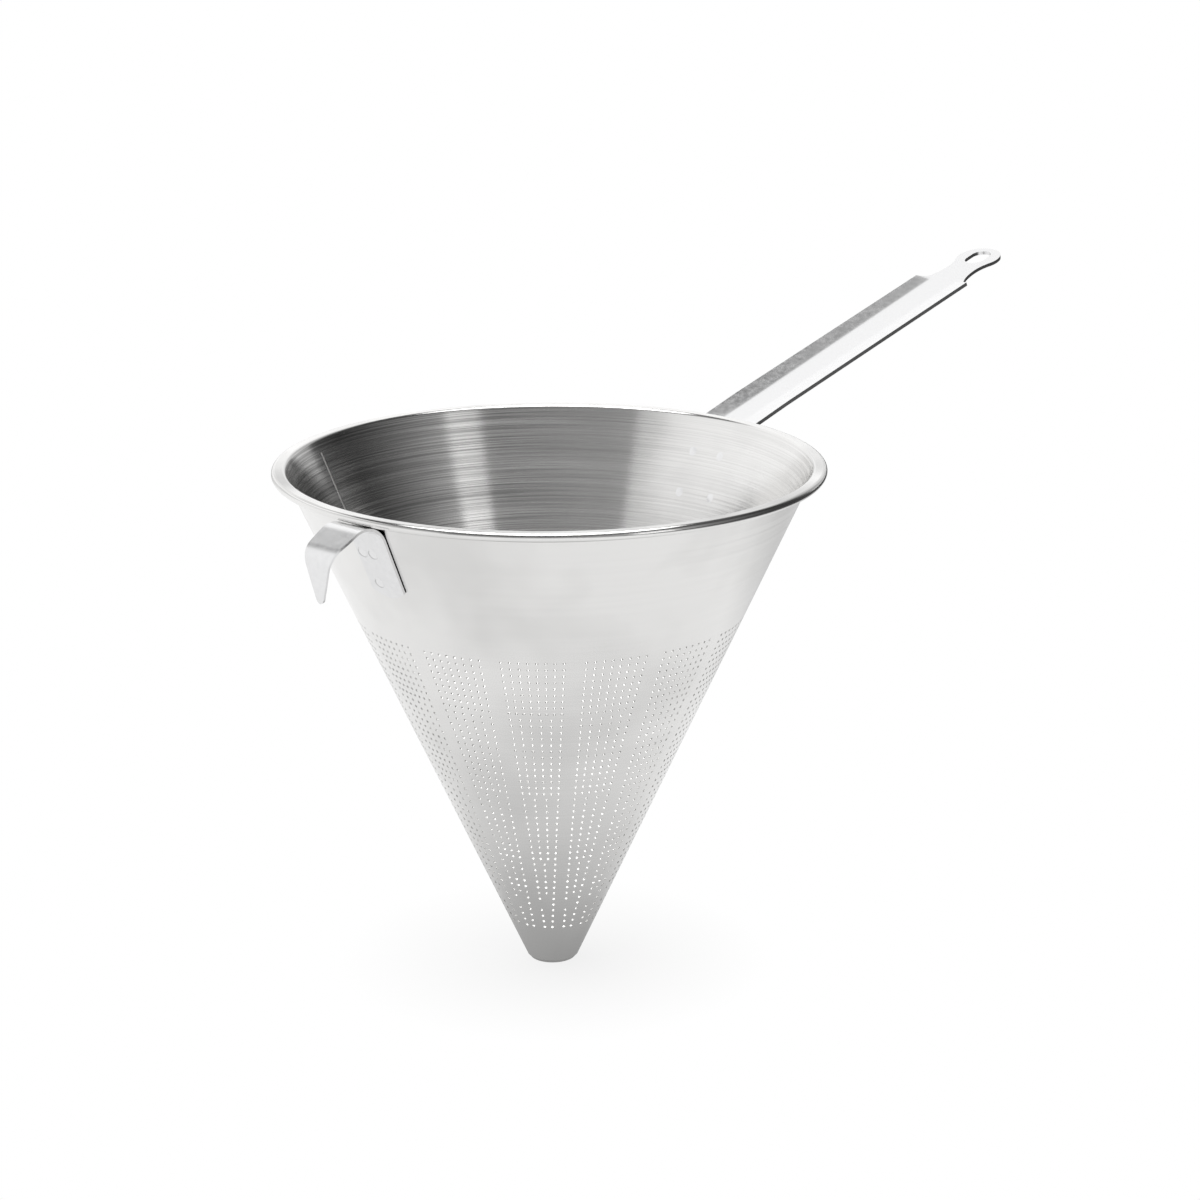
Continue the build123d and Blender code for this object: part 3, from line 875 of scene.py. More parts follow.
# Each wave of the bead: its share of the crown or width, its length along the weld and its start
CROWN_WAVES = ((0.10, 0.55 * MM, 0.0), (0.08, 3.7 * MM, 1.3))
WIDTH_WAVE = (0.06, 2.9 * MM)
SEAM_END = 1.5 * MM
SEAM_END_LEAST = 0.05


class STRAINER_OT_seam(Operator):
    """Build the weld along the rolled sheet's joint"""

    bl_idname = "strainer.seam"
    bl_label = "Side seam"

    def execute(self, context):
        sizes, cone = context.scene.strainer_seam, context.scene.strainer_cone
        wall = Wall(cone)
        low = wall.slant(cone.foot_height)
        high = wall.slant(cone.height - 2 * cone.curl_radius - sizes.below_curl)
        # An oval section about the middle of the sheet, carried up the wall, whose crown and width
        # ripple as sines of the distance and whose size falls at both ends as the root of the distance
        s = np.linspace(low, high, SEAM_STATIONS)[:, None]
        t = (np.arange(SEAM_SIDES) * FULL_TURN / SEAM_SIDES)[None]
        ripple = 1 + sum(share * np.sin(s / wave + start) for share, wave, start in CROWN_WAVES)
        half = sizes.width / 2 * (1 + WIDTH_WAVE[0] * np.sin(s / WIDTH_WAVE[1]))
        end_share = np.sqrt(np.clip(np.minimum(s - low, high - s) / SEAM_END, SEAM_END_LEAST, 1.0))
        depth = wall.sheet / 2 - (wall.sheet / 2 + sizes.crown * ripple) * np.sin(t) * end_share
        around = half * np.cos(t) * end_share
        slants = s * np.ones_like(t)
        bearing = sizes.bearing + around / (slants * math.sin(wall.a))
        points = wall.points(slants, bearing, depth)
        surface = Surface()
        rings = surface.add_points(points)
        middle = wall.points(s, sizes.bearing * np.ones_like(s), wall.sheet / 2 * np.ones_like(s))
        normal = points - middle
        normal /= np.linalg.norm(normal, axis=-1, keepdims=True)
        surface.add_faces(round_quads(rings[:-1], rings[1:]), round_quads(normal[:-1], normal[1:]))
        way = np.tile(wall.plane(low, sizes.bearing)[1], (1, SEAM_SIDES, 1))
        surface.add_faces(rings[0][None], -way)
        surface.add_faces(rings[-1][None], way, flip=True)
        mesh = surface.piece("side_seam")
        new_object("side_seam", mesh, "weld_metal", weld_steel(context.scene.strainer_finish), "seam_weld")
        return {"FINISHED"}


def path_frame(turns):
    """A path in the upright plane from straight runs and arcs: each turn is (length, start angle, end
    angle, steps). Returns distance and height, and the angle above level, at each station."""
    where, angles = [np.zeros((1, 2))], [np.array([turns[0][1]])]
    for run, start, end, steps in turns:
        share = np.linspace(0, 1, steps + 1)[1:]
        tau = start + (end - start) * share
        if abs(end - start) < LEAST:
            step = run * share[:, None] * np.array([math.cos(start), math.sin(start)])
        else:
            radius = run / (end - start)
            step = radius * np.stack(
                [np.sin(tau) - math.sin(start), math.cos(start) - np.cos(tau)], -1
            )
        where.append(where[-1][-1] + step)
        angles.append(tau)
    return np.concatenate(where), np.concatenate(angles)


def soft_ramp(x, crease):
    """Zero below and straight above nought, with a rounded knee of the crease's size."""
    return (x + np.sqrt(x * x + crease * crease)) / 2


BEVEL_SEGMENTS = 2
BEVEL_ANGLE = math.radians(50)


def finish_strip(piece, thickness, bevel):
    """Gives a one-sided strip its thickness away from its upper face, and rounds its edges."""
    solid = piece.modifiers.new("strip_thickness", "SOLIDIFY")
    solid.thickness = thickness
    solid.offset = -1.0
    solid.use_even_offset = True
    edge = piece.modifiers.new("edge_rounding", "BEVEL")
    edge.width = bevel
    edge.segments = BEVEL_SEGMENTS
    edge.limit_method = "ANGLE"
    edge.angle_limit = BEVEL_ANGLE
    edge.harden_normals = True


# Steps along the handle's corner, foot, bend, arm, neck and flare, and across the strip
HANDLE_STEPS = {"corner": 8, "foot": 11, "bend": 13, "arm": 109, "neck": 16, "flare": 3}
HANDLE_COLUMNS = 48
HEAD_STEPS = 61
HEAD_FLARE_STEPS = 9
HEAD_LAYERS = 6
# Slope of the flanks at the bend, as a share of their full slope
BEND_FLANK_SHARE = 0.62


class STRAINER_OT_handle(Operator):
    """Build the handle strip from its foot to its hanging eye"""

    bl_idname = "strainer.handle"
    bl_label = "Handle"

    def execute(self, context):
        sizes, cone = context.scene.strainer_handle, context.scene.strainer_cone
        wall = Wall(cone)
        a, m = wall.a, sizes.arm_slope
        tan_a, tan_m = math.tan(a), math.tan(m)
        # The arm's line meets the wall's line at this corner, which the bend rounds off
        corner_r = sizes.gauge_height - sizes.gauge_reach * tan_m - wall.apex
        corner_r *= tan_a / (1 - tan_m * tan_a)
        corner_z = corner_r / tan_a + wall.apex
        turn = math.pi / 2 - a - m
        cut = sizes.bend_radius * math.tan(turn / 2)
        foot_start = wall.slant(sizes.foot_bottom)
        foot_run = wall.slant(corner_z) - cut - foot_start
        neck_run = (sizes.neck - corner_r) / math.cos(m) - cut
        head_run = (sizes.head - corner_r) / math.cos(m) - cut
        shoulder_run = (sizes.shoulder - corner_r) / math.cos(m) - cut
        gap = head_run - neck_run
        fillet = (gap**2 + sizes.neck_half**2 - sizes.head_radius**2) / (
            2 * (sizes.head_radius - sizes.neck_half)
        )
        way = np.array([neck_run - head_run, sizes.neck_half + fillet])
        touch = np.array([head_run, 0.0]) + sizes.head_radius * way / np.linalg.norm(way)

        # Stations: the foot, the bend, the arm to the shoulders, the neck, then up to the head
        steep = math.pi / 2 - a
        bend_length = sizes.bend_radius * turn
        corner = sizes.foot_corner

        def later(start, end, name):
            """Even steps from start to end, without the start."""
            return np.linspace(start, end, HANDLE_STEPS[name] + 1)[1:]

        corner_t = corner * (1 - np.cos(later(0, math.pi / 2, "corner")))
        foot_t = np.concatenate([corner_t, later(corner, foot_run, "foot")])
        bend_t = foot_run + bend_length * later(0, 1, "bend")
        arm_start = bend_t[-1]
        arm_t = arm_start + later(0, shoulder_run, "arm")
        swing = later(0, math.pi / 2, "neck")
        neck_t = arm_start + shoulder_run + (neck_run - shoulder_run) * (1 - np.cos(swing))
        head_start = head_run - sizes.eye_length / 2 - sizes.eye_margin
        flare_t = arm_start + later(neck_run, head_start, "flare")
        t = np.concatenate([[0.0], foot_t, bend_t, arm_t, neck_t, flare_t])
        arm = t - arm_start

        # The centre line: straight up the wall, an arc of the bend's radius, then straight along the arm
        bend_share = np.clip((t - foot_run) / bend_length, 0, 1)
        tau = steep - turn * bend_share
        foot_part = np.minimum(t, foot_run)
        r0, z0 = foot_start * math.sin(a), wall.apex + foot_start * math.cos(a)
        centre = np.array(
            [r0 + foot_run * math.sin(a), z0 + foot_run * math.cos(a)]
        ) + sizes.bend_radius * np.array([math.cos(a), -math.sin(a)])
        up = np.stack([-np.sin(tau), np.cos(tau)], -1)
        on_foot = np.stack([r0 + foot_part * math.sin(a), z0 + foot_part * math.cos(a)], -1)
        on_bend = centre + sizes.bend_radius * up
        path = np.where((t <= foot_run)[:, None], on_foot, on_bend)
        path = path + np.clip(arm, 0, None)[:, None] * np.array([math.cos(m), math.sin(m)])
        path = path - up * STRIP_CLEARANCE

        # Half width along the strip: quarter circles at the foot, a quarter ellipse from the shoulders
        # to the neck, then an arc that flares to meet the head's circle
        full = sizes.half_width
        into = np.clip(corner - t, 0, corner)
        half = full - (corner - np.sqrt(corner**2 - into**2))
        share = np.clip((neck_run - arm) / (neck_run - shoulder_run), 0, 1)
        waist = full - (full - sizes.neck_half) * np.sqrt(1 - share**2)
        beyond = np.clip(arm - neck_run, 0, None)
        flare = sizes.neck_half + fillet - np.sqrt(fillet**2 - beyond**2)
        half = np.where(arm > shoulder_run, waist, half)
        half = np.where(arm > neck_run, flare, half)

        # Rise of the cross-section: the cone's own curve on the foot, the gutter on the arm
        y = half[:, None] * np.linspace(-1, 1, HANDLE_COLUMNS + 1)
        wall_radii = [wall.radius(sizes.foot_bottom), wall.radius(corner_z)]
        bow = np.interp(t, [0, foot_run], wall_radii) / math.cos(a)
        hug = bow[:, None] - np.sqrt(bow[:, None] ** 2 - y**2)
        reach = path[:, 0]
        span = np.clip((reach - sizes.gutter_full) / (sizes.gutter_end - sizes.gutter_full), 0, 1)
        floor = sizes.floor_near + (sizes.floor_far - sizes.floor_near) * span
        closing = np.clip((reach - sizes.gutter_end) / (sizes.gutter_close - sizes.gutter_end), 0, 1)
        floor = floor + (full + sizes.crease - floor) * (1 - np.sqrt(1 - closing**2))
        bend_top, bend_foot = reach[len(foot_t) + len(bend_t)], reach[len(foot_t)]
        deep = np.clip((reach - bend_top) / (sizes.gutter_full - bend_foot), 0, 1)
        slope = sizes.flank_slope * (BEND_FLANK_SHARE + (1 - BEND_FLANK_SHARE) * deep)
        gutter = slope[:, None] * soft_ramp(np.abs(y) - floor[:, None], sizes.crease)
        gutter = gutter * (1 - closing[:, None] ** 4)
        ease = bend_share * bend_share * (3 - 2 * bend_share)
        rise = hug * (1 - ease[:, None]) + gutter * ease[:, None]
        x = path[:, 0, None] + up[:, 0, None] * rise
        z = path[:, 1, None] + up[:, 1, None] * rise
        strip = np.stack([x, y, z], -1)
        rows, wide = strip.shape[:2]
        quads, index = grid_quads(rows, wide)

        # Head: a ring between the outline and the eye, whose neck side uses the strip's last row
        side = math.atan2(touch[1], touch[0] - head_run)
        theta = np.linspace(side, -side, HEAD_STEPS)
        round_part = sizes.head_radius * np.stack([np.cos(theta), np.sin(theta)], -1)
        flare_x = np.linspace(head_start, touch[0], HEAD_FLARE_STEPS)[1:-1]
        flare_y = sizes.neck_half + fillet - np.sqrt(fillet**2 - (flare_x - neck_run) ** 2)
        flare_side = np.stack([flare_x - head_run, flare_y], -1)
        round_part = np.concatenate([flare_side, round_part, flare_side[::-1] * [1, -1]])
        last_row = np.stack([np.full(wide, head_start - head_run), y[-1]], -1)
        outline = np.concatenate([last_row, round_part])
        polar = np.arctan2(outline[:, 1], outline[:, 0])
        shift = sizes.eye_length / 2 - sizes.eye_width / 2
        end_r = sizes.eye_width / 2
        ca, sa = np.abs(np.cos(polar)), np.abs(np.sin(polar))
        on_side = end_r / np.maximum(sa, LEAST)
        on_end = shift * ca + np.sqrt(np.maximum(end_r**2 - (shift * sa) ** 2, 0))
        eye_r = np.where(ca * end_r <= shift * sa, on_side, on_end)
        eye = eye_r[:, None] * np.stack([np.cos(polar), np.sin(polar)], -1)
        layers = np.linspace(0, 1, HEAD_LAYERS + 1)[1:, None, None]
        inner = outline[None] * (1 - layers) + eye[None] * layers
        level = path[-1] - (head_start - head_run) * np.array([math.cos(m), math.sin(m)])

        def on_arm(flat):
            """Lays points given along and across the arm on its slope."""
            along, across = flat[..., 0], flat[..., 1]
            return np.stack([level[0] + along * math.cos(m), across, level[1] + along * math.sin(m)], -1)

        head, rim = on_arm(inner), on_arm(round_part)
        first = rows * wide
        rim_index = first + np.arange(len(rim))
        ring0 = np.concatenate([index[-1], rim_index])
        inner_index = rim_index[-1] + 1 + np.arange(inner[..., 0].size).reshape(inner.shape[:2])
        rings = np.concatenate([ring0[None], inner_index])
        head_quads = round_quads(rings[:-1], rings[1:]).reshape(-1, 4)
        points = np.concatenate([strip.reshape(-1, 3), rim, head.reshape(-1, 3)])
        quads = np.concatenate([quads, head_quads])
        mesh = write_mesh("handle_strip", points, quads, np.full(len(quads), 4))
        finish = strip_steel("satin_strip", context.scene.strainer_finish)
        piece = new_object("handle_strip", mesh, "strip_steel", finish, "handle")
        finish_strip(piece, sizes.thickness, sizes.edge_bevel)
        return {"FINISHED"}


# Steps along the hook's plate, arch, fall, knuckle and finger, and across the strip
HOOK_STEPS = {"plate": 16, "arch": 30, "fall": 5, "knuckle": 22, "finger": 25}
HOOK_COLUMNS = 24
# Height and half width of the finger, from its tip up, in millimetres
FINGER_GAUGE = (
    (171.1, 1.5), (173.0, 1.9), (178.0, 3.5), (184.0, 5.3), (189.0, 7.0), (194.0, 8.3), (198.0, 8.5),
)
# Length of the finger's rounded end, and the largest share of it that the outline uses
FINGER_END = 1.9 * MM
FINGER_END_SHARE = 0.995
# Height over which the plate widens to the arch's width
PLATE_WIDENING = 25 * MM


class STRAINER_OT_hook(Operator):
    """Build the pot hook from its plate to its finger"""

    bl_idname = "strainer.hook"
    bl_label = "Pot hook"

    def execute(self, context):
        sizes, cone = context.scene.strainer_hook, context.scene.strainer_cone
        wall = Wall(cone)
        a = wall.a
        # The arch is tangent to the plate, then the strip falls straight, turns down round the knuckle
        # and ends in the finger, whose steps draw together towards the tip
        big = sizes.arch_radius
        centre_z = wall.apex + (sizes.arch_reach * math.cos(a) - big) / math.sin(a)
        arch_slant = sizes.arch_reach * math.sin(a) + (centre_z - wall.apex) * math.cos(a)
        steep, fall = math.pi / 2 - a, -sizes.finger_slope
        drop = -math.pi / 2 - sizes.lean
        plate_run = arch_slant - sizes.plate_bottom
        knuckle = sizes.knuckle_radius * (fall - drop)
        turns = [
            (plate_run, steep, steep, HOOK_STEPS["plate"]),
            (big * (steep - fall), steep, fall, HOOK_STEPS["arch"]),
            (sizes.finger_run, fall, fall, HOOK_STEPS["fall"]),
            (knuckle, fall, drop, HOOK_STEPS["knuckle"]),
        ]
        way, tau = path_frame(turns)
        start = np.array([sizes.plate_bottom * math.sin(a), wall.apex + sizes.plate_bottom * math.cos(a)])
        last = start[1] + way[-1, 1]
        run = (last - sizes.tip_height) / math.cos(sizes.lean)
        tip_steps = run * (1 - np.linspace(1, 0, HOOK_STEPS["finger"] + 1)[1:] ** 2)
        more = way[-1] + tip_steps[:, None] * np.array([math.cos(drop), math.sin(drop)])
        way = np.concatenate([way, more]) + start
        tau = np.concatenate([tau, np.full(len(more), drop)])
        up = np.stack([-np.sin(tau), np.cos(tau)], -1)
        way = way - up * STRIP_CLEARANCE
        height = way[:, 1]
        past_top = np.arange(len(way)) > HOOK_STEPS["plate"] + HOOK_STEPS["arch"] // 2
        gauge = np.array(FINGER_GAUGE).T * MM
        widths = np.interp(height, *gauge)
        near_tip = np.clip((sizes.tip_height + FINGER_END - height) / FINGER_END, 0, FINGER_END_SHARE)
        widths = widths * np.where(past_top, np.sqrt(1 - near_tip**2), 1)
        share = np.clip((height - start[1]) / PLATE_WIDENING, 0, 1)
        plate = sizes.plate_half + (sizes.arch_half - sizes.plate_half) * share
        half = np.where(past_top, np.minimum(widths, sizes.arch_half), plate)
        v = np.linspace(-1, 1, HOOK_COLUMNS + 1)
        across = half[:, None] * v
        plate_share = np.clip(1 - np.arange(len(way)) / HOOK_STEPS["plate"], 0, 1)[:, None]
        lift = sizes.corner_rise * v**2 * plate_share
        u = way[:, 0, None] + lift * math.sin(a)
        z = way[:, 1, None] + lift * math.cos(a)
        points = np.stack([-u, -across * np.ones_like(u), z], -1)
        quads = grid_quads(*points.shape[:2])[0]
        mesh = write_mesh("pot_hook_strip", points.reshape(-1, 3), quads, np.full(len(quads), 4))
        finish = strip_steel("satin_hook_strip", context.scene.strainer_finish)
        piece = new_object("pot_hook_strip", mesh, "strip_steel", finish, "pot_hook")
        finish_strip(piece, sizes.thickness, sizes.edge_bevel)
        return {"FINISHED"}


# The mark's ring as shares of its radius, and how far the painted shade reaches on either side of it
MARK_SIDES = 32
MARK_STEPS = 25
RING_PLACE = 0.84
RING_WIDTH = 0.07
RING_SHADE_WIDTH = 0.10
# Heights as shares of the lip: the floor inside the ring, and the inner dome above and under the wall
RING_FLOOR = 0.02
DOME_RISE = 0.8
DOME_SINK = 0.05
# Where the painted shade's letter C is deepest, its mean level and how much it swings round the ring
RING_SHADE_TURN = 2.2
RING_SHADE_MEAN = 0.35
RING_SHADE_SWING = 0.9
# Height and offset of the handle's marks, slant distance and offset of the hook's, in millimetres
HANDLE_MARKS = ((186.2, 7.0), (170.6, 8.0))
HOOK_MARKS = ((224.5, 5.7), (224.5, 0.5), (211.1, 3.0))


def weld_spool(surface, origin, up, side, out, radius, lip, low, high):
    """A closed round spool through two sheets. Its outer end has a raised ring, a narrow bell of the
    distance from the middle; its inner end is a soft dome that meets the wall at its edge. Returns how
    far each vertex takes painted shade: a bell at the ring that fades round it like a letter C."""
    share = np.linspace(0, 1, MARK_STEPS)
    ring = lip * np.exp(-(((share - RING_PLACE) / RING_WIDTH) ** 2)) + RING_FLOOR * lip
    dome = DOME_RISE * lip * (1 - share**2) ** 2 - DOME_SINK * lip
    turn = np.arange(MARK_SIDES) * FULL_TURN / MARK_SIDES
    top_r, top_d = radius * share[1:], high + ring[1:]
    end_r, end_d = radius * share[:0:-1], low - dome[:0:-1]
    r = np.concatenate([top_r, end_r])[:, None]
    d = np.concatenate([top_d, end_d])[:, None]
    points = (
        origin
        + (r * np.cos(turn))[..., None] * up
        + (r * np.sin(turn))[..., None] * side
        + (d * np.ones_like(turn))[..., None] * out
    )
    rings = surface.add_points(points)
    poles = surface.add_points(np.array([origin + out * (high + ring[0]), origin + out * (low - dome[0])]))
    slope_r = np.gradient(r[:, 0])
    slope_d = np.gradient(d[:, 0])
    size = np.hypot(slope_r, slope_d)
    nr, nd = -slope_d / size, slope_r / size
    normal = (
        (nr[:, None] * np.cos(turn))[..., None] * up
        + (nr[:, None] * np.sin(turn))[..., None] * side
        + (nd[:, None] * np.ones_like(turn))[..., None] * out
    )
    corner = round_quads(normal[1:], normal[:-1])
    surface.add_faces(round_quads(rings[1:], rings[:-1]), corner, flip=True)
    for pole, end, flip, sign in ((poles[0], 0, False, 1), (poles[1], -1, True, -1)):
        fan = np.stack([np.full(MARK_SIDES, pole), rings[end], np.roll(rings[end], -1)], -1)
        at_pole = np.tile(sign * out, (MARK_SIDES, 1))
        n = np.stack([at_pole, normal[end], np.roll(normal[end], -1, 0)], 1)
        surface.add_faces(fan, n, flip)
    bell = np.exp(-(((share[1:] - RING_PLACE) / RING_SHADE_WIDTH) ** 2))[:, None]
    # Painted shade: darkest on one side of the ring, fading round it like a letter C
    arc = np.clip(RING_SHADE_MEAN + RING_SHADE_SWING * np.cos(turn - RING_SHADE_TURN), 0, 1)
    ring_shade = np.concatenate([bell * arc, np.zeros_like(bell * arc)])
    return np.append(ring_shade.ravel(), [0.0, 0.0])


class STRAINER_OT_welds(Operator):
    """Build the spot welds of the handle and of the pot hook"""

    bl_idname = "strainer.welds"
    bl_label = "Spot welds"

    def execute(self, context):
        scene = context.scene
        sizes, cone = scene.strainer_welds, scene.strainer_cone
        wall = Wall(cone)
        radius = sizes.diameter / 2
        finish = mark_steel(scene.strainer_finish)

        def finish_marks(name, surface, ring_shades, node):
            """Writes the marks as one piece with their painted shade as an attribute."""
            mesh = surface.piece(name)
            mesh.attributes.new("ring_shade", "FLOAT", "POINT").data.foreach_set("value", np.concatenate(ring_shades))
            new_object(name, mesh, "weld_metal", finish, node)

        surface, ring_shades = Surface(), []
        for height, offset in HANDLE_MARKS:
            slant = wall.slant(height * MM)
            for sign in (1, -1):
                bearing = sign * offset * MM / wall.radius(height * MM)
                place = wall.plane(slant, bearing)
                top = scene.strainer_handle.thickness + STRIP_CLEARANCE
                ring_shades.append(weld_spool(surface, *place, radius, sizes.lip, -wall.sheet, top))
        finish_marks("handle_weld_marks", surface, ring_shades, "handle_spot_welds")
        surface, ring_shades = Surface(), []
        for slant, offset in HOOK_MARKS:
            origin, up, side, out = wall.plane(slant * MM, math.pi)
            place = (origin + side * offset * MM, up, side, out)
            top = scene.strainer_hook.thickness + STRIP_CLEARANCE
            ring_shades.append(weld_spool(surface, *place, radius, sizes.lip, -wall.sheet, top))
        finish_marks("hook_weld_marks", surface, ring_shades, "hook_spot_welds")
        return {"FINISHED"}


# The camera's place in metres, and its turns about X, Y and Z in degrees
CAMERA_PLACE = (-0.886873, -0.804167, 0.492522)
CAMERA_TURN = (73.8544, 0.1413, -48.7491)
# Bearing of the studio's walls in degrees, and how bright each is as a share of the brightest
STUDIO_WALLS = (
    (-180.0, 0.34), (-166.0, 0.30), (-138.0, 0.30), (-104.5, 0.34), (-103.0, 1.0), (-87.0, 1.0),
    (-85.5, 0.36), (-69.0, 0.20), (-55.0, 0.12), (-40.0, 0.06), (-26.0, 0.03), (-14.0, 0.05),
    (-6.0, 0.09), (-3.0, 0.44), (15.0, 0.62), (40.0, 0.86), (60.0, 0.9), (85.0, 0.8),
    (108.0, 0.8), (139.0, 0.76), (177.0, 0.70), (179.0, 0.34),
)
SENSOR_WIDTH = 36.0
VIEW_END = 50.0
FLOOR_HALF = 6.0
LAMP_BACK = 0.1
# Degrees above level between which the walls give way to the ceiling. Towards the camera it starts
# lower: the sine of the start falls by the drop, over this span of the cosine from the camera's side.
CEILING_STARTS = (40.0, 48.0)
CEILING_DROP = 0.14
CAMERA_SIDE = (-0.72, -0.64, 0.0)
CAMERA_SPAN = (0.0, 0.5)
# Distance on the floor from the tip in metres, and the level that the metal sees there, a painted shadow
# round the tip
FLOOR_SHADOW_LEVELS = ((0.0, 0.34), (0.026, 0.43), (0.06, 0.64), (0.115, 0.83), (0.165, 0.89), (0.4, 0.98))
# Distance from the tip over which the floor that the camera sees turns white, and its white share there
SHADOW_REACH = (0.0, 0.085)
SHADOW_SHARE = 0.82
# Where the floor under the handle dims for the metal as painted shade, and a painted dark patch on the
# floor beside the camera
HANDLE_SIDE = (1.0, 0.0, 0.0)
DIM_SIDE = (0.22, 0.42)
DIM_LEVEL = 0.68
DARK_PATCH_WAY = (0.707, -0.707, 0.0)
DARK_PATCH_SIDE = (0.32, 0.45)
DARK_PATCH_LEVEL = 0.08


class STRAINER_OT_studio(Operator):
    """Build the floor, the light and the camera"""

    bl_idname = "strainer.studio"
    bl_label = "Studio"

    def execute(self, context):
        studio, finish = context.scene.strainer_studio, context.scene.strainer_finish
        mesh = bpy.data.meshes.new("floor")
        half = FLOOR_HALF
        corners = [(-half, -half, 0), (half, -half, 0), (half, half, 0), (-half, half, 0)]
        mesh.from_pydata(corners, [], [(0, 1, 2, 3)])
        floor = bpy.data.objects.new("floor", mesh)
        context.scene.collection.objects.link(floor)
        mesh.materials.append(self.floor_material(finish))
        self.world(context.scene, studio)
        lamp = bpy.data.lights.new("soft_lamp", "AREA")
        lamp.shape = "DISK"
        lamp.size = studio.lamp_width
        lamp.energy = studio.lamp_watts
        holder = bpy.data.objects.new("soft_lamp", lamp)
        holder.location = (0.0, LAMP_BACK, studio.lamp_height)
        context.scene.collection.objects.link(holder)
        camera = bpy.data.cameras.new("camera")
        camera.lens = studio.focal_length
        camera.sensor_width = SENSOR_WIDTH
        camera.clip_end = VIEW_END
        seer = bpy.data.objects.new("camera", camera)
        turn = Euler([math.radians(degrees) for degrees in CAMERA_TURN]).to_matrix().to_4x4()
        seer.matrix_world = Matrix.Translation(CAMERA_PLACE) @ turn
        context.scene.collection.objects.link(seer)
        context.scene.camera = seer
        context.scene.view_settings.view_transform = "Standard"
        return {"FINISHED"}

    def floor_material(self, finish):
        """Pale diffuse floor. The camera sees it mixed with white, fully so beyond the shadow. The metal
        sees a glowing level with painted shade: a painted shadow under the strainer, painted shade under
        the handle and a painted dark patch by the camera."""
        s = Shader(bpy.data.materials.new("pale_floor"))
        s.nodes.remove(s.main)
        matt = s.node("ShaderNodeBsdfDiffuse", {"Color": (*finish.floor_colour, 1)}).outputs[0]
        rays = s.node("ShaderNodeLightPath")
        distance = s.vector("LENGTH", s.place, output="Value")
        seen = s.between(distance, *SHADOW_REACH, SHADOW_SHARE, 1.0)
        white = s.node("ShaderNodeEmission").outputs[0]
        camera_floor = s.node("ShaderNodeMixShader", {0: seen, 1: matt, 2: white}).outputs[0]
        reach = FLOOR_SHADOW_LEVELS[-1][0]
        # Painted shadow round the tip, in the floor's glow that the metal reflects
        near = s.ramp(s.between(distance, 0.0, reach, 0.0, 1.0), [(d / reach, v) for d, v in FLOOR_SHADOW_LEVELS])
        right = s.vector("DOT_PRODUCT", s.place, HANDLE_SIDE, "Value")
        toward_dark_patch = s.vector("DOT_PRODUCT", s.place, DARK_PATCH_WAY, "Value")
        # Painted shade under the handle and a painted dark patch by the camera, seen only in reflections
        painted_handle_shade = s.between(right, *DIM_SIDE, 1.0, DIM_LEVEL)
        painted_dark_patch = s.between(toward_dark_patch, *DARK_PATCH_SIDE, 1.0, DARK_PATCH_LEVEL)
        level = s.math("MULTIPLY", s.math("MULTIPLY", painted_handle_shade, painted_dark_patch), near)
        glossy_floor = s.node("ShaderNodeEmission", {"Strength": level}).outputs[0]
        first = s.node(
            "ShaderNodeMixShader", {0: rays.outputs["Is Glossy Ray"], 1: matt, 2: glossy_floor}
        ).outputs[0]
        both = s.node(
            "ShaderNodeMixShader", {0: rays.outputs["Is Camera Ray"], 1: first, 2: camera_floor}
        ).outputs[0]
        s.link(both, s.nodes["Material Output"].inputs["Surface"])
        return s.material

    def world(self, scene, studio):
        """Studio walls whose level changes with the bearing, under a plain ceiling, and white to the
        camera."""
        world = bpy.data.worlds.new("studio_walls")
        scene.world = world
        s = Shader(world, "Generated")
        bearing = s.math("ARCTAN2", s.part(s.place, "Y"), s.part(s.place, "X"))
        wall_share = s.between(bearing, -math.pi, math.pi, 0.0, 1.0)
        stops = [(0.5 + math.radians(degrees) / FULL_TURN, level) for degrees, level in STUDIO_WALLS]
        ramp = s.ramp(wall_share, stops)
        walls = s.math("MULTIPLY", ramp, studio.wall_level)
        front = s.vector("DOT_PRODUCT", s.place, CAMERA_SIDE, "Value")
        height = s.math("ADD", s.part(s.place, "Z"), s.between(front, *CAMERA_SPAN, 0.0, CEILING_DROP))
        starts = [math.sin(math.radians(e)) for e in CEILING_STARTS]
        overhead = s.between(height, *starts, 0.0, 1.0)
        level = s.blend(overhead, walls, studio.ceiling_level)
        camera = s.node("ShaderNodeLightPath").outputs["Is Camera Ray"]
        seen = s.blend(camera, level, 1.0)
        s.link(seen, s.nodes["Background"].inputs["Strength"])
        s.nodes["Background"].inputs["Color"].default_value = (1, 1, 1, 1)


class STRAINER_PT_panel(Panel):
    """Lists the strainer's sizes, finishes and pieces"""

    bl_idname = "STRAINER_PT_panel"
    bl_label = "Strainer"
    bl_space_type = "VIEW_3D"
    bl_region_type = "UI"
    bl_category = "Strainer"

    def draw(self, context):
        for name, group in GROUPS.items():
            box = self.layout.box()
            box.label(text=group.__name__)
            values = getattr(context.scene, name)
            for prop in group.__annotations__:
                box.prop(values, prop)
        for operator in OPERATORS:
            self.layout.operator(operator.bl_idname)


OPERATORS = (
    STRAINER_OT_cone,
    STRAINER_OT_cap,
    STRAINER_OT_seam,
    STRAINER_OT_handle,
    STRAINER_OT_hook,
    STRAINER_OT_welds,
    STRAINER_OT_studio,
)


def register():
    for group in GROUPS.values():
        bpy.utils.register_class(group)
    for name, group in GROUPS.items():
        setattr(bpy.types.Scene, name, PointerProperty(type=group))
    for operator in OPERATORS:
        bpy.utils.register_class(operator)
    bpy.utils.register_class(STRAINER_PT_panel)


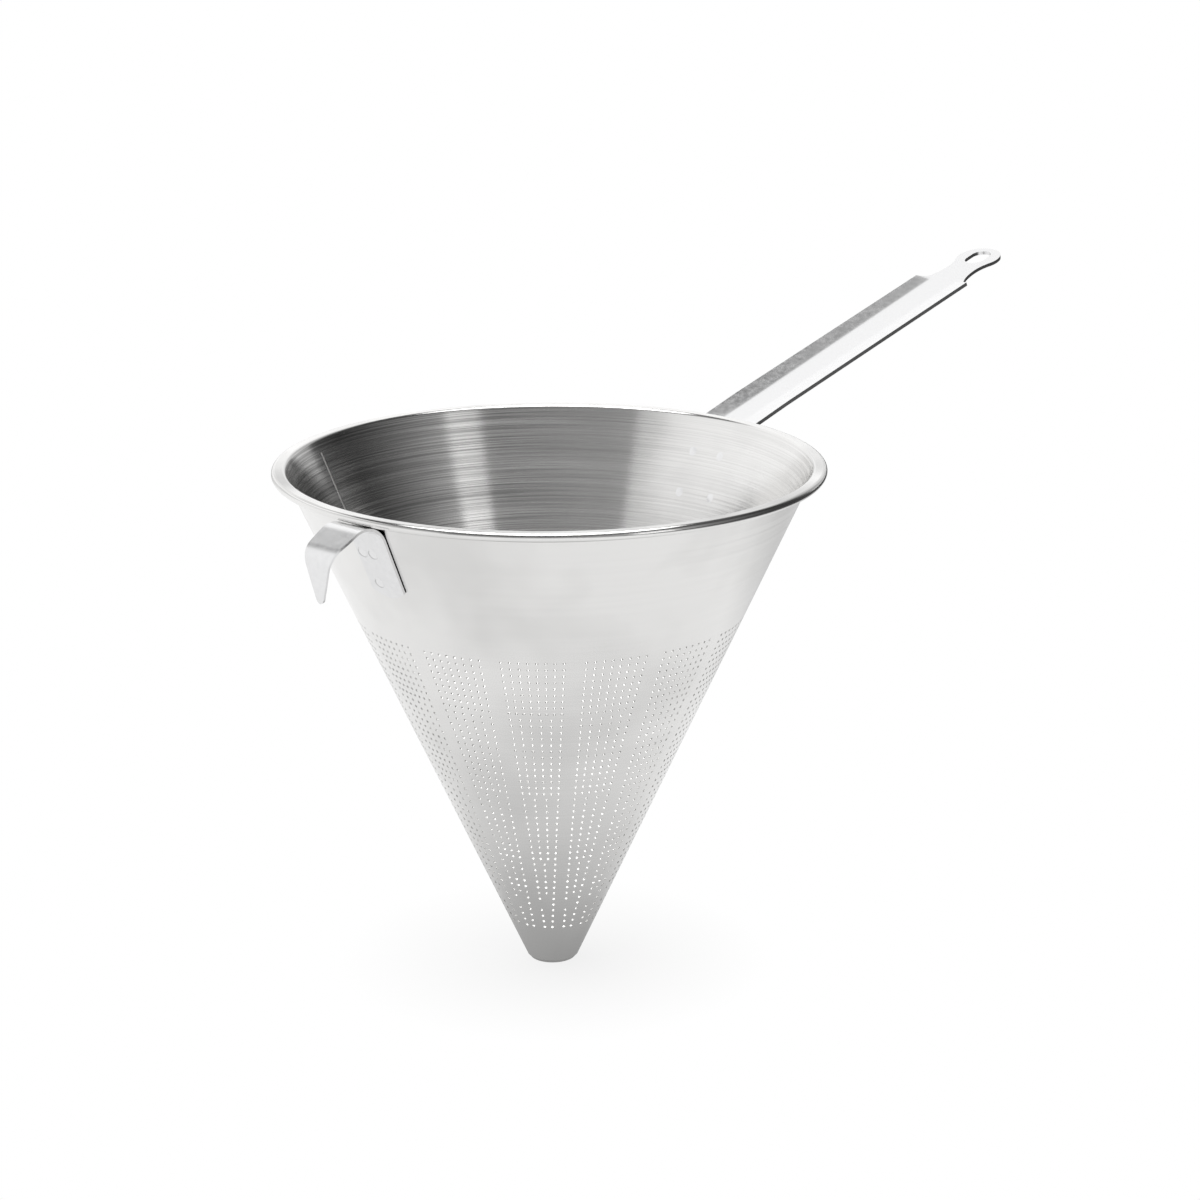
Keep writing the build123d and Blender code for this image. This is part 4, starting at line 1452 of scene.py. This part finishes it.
def unregister():
    bpy.utils.unregister_class(STRAINER_PT_panel)
    for operator in reversed(OPERATORS):
        bpy.utils.unregister_class(operator)
    for name in GROUPS:
        delattr(bpy.types.Scene, name)
    for group in reversed(GROUPS.values()):
        bpy.utils.unregister_class(group)


def main():
    register()
    bpy.ops.strainer.cone()
    bpy.ops.strainer.cap()
    bpy.ops.strainer.seam()
    bpy.ops.strainer.handle()
    bpy.ops.strainer.hook()
    bpy.ops.strainer.welds()
    bpy.ops.strainer.studio()


if __name__ == "__main__":
    main()
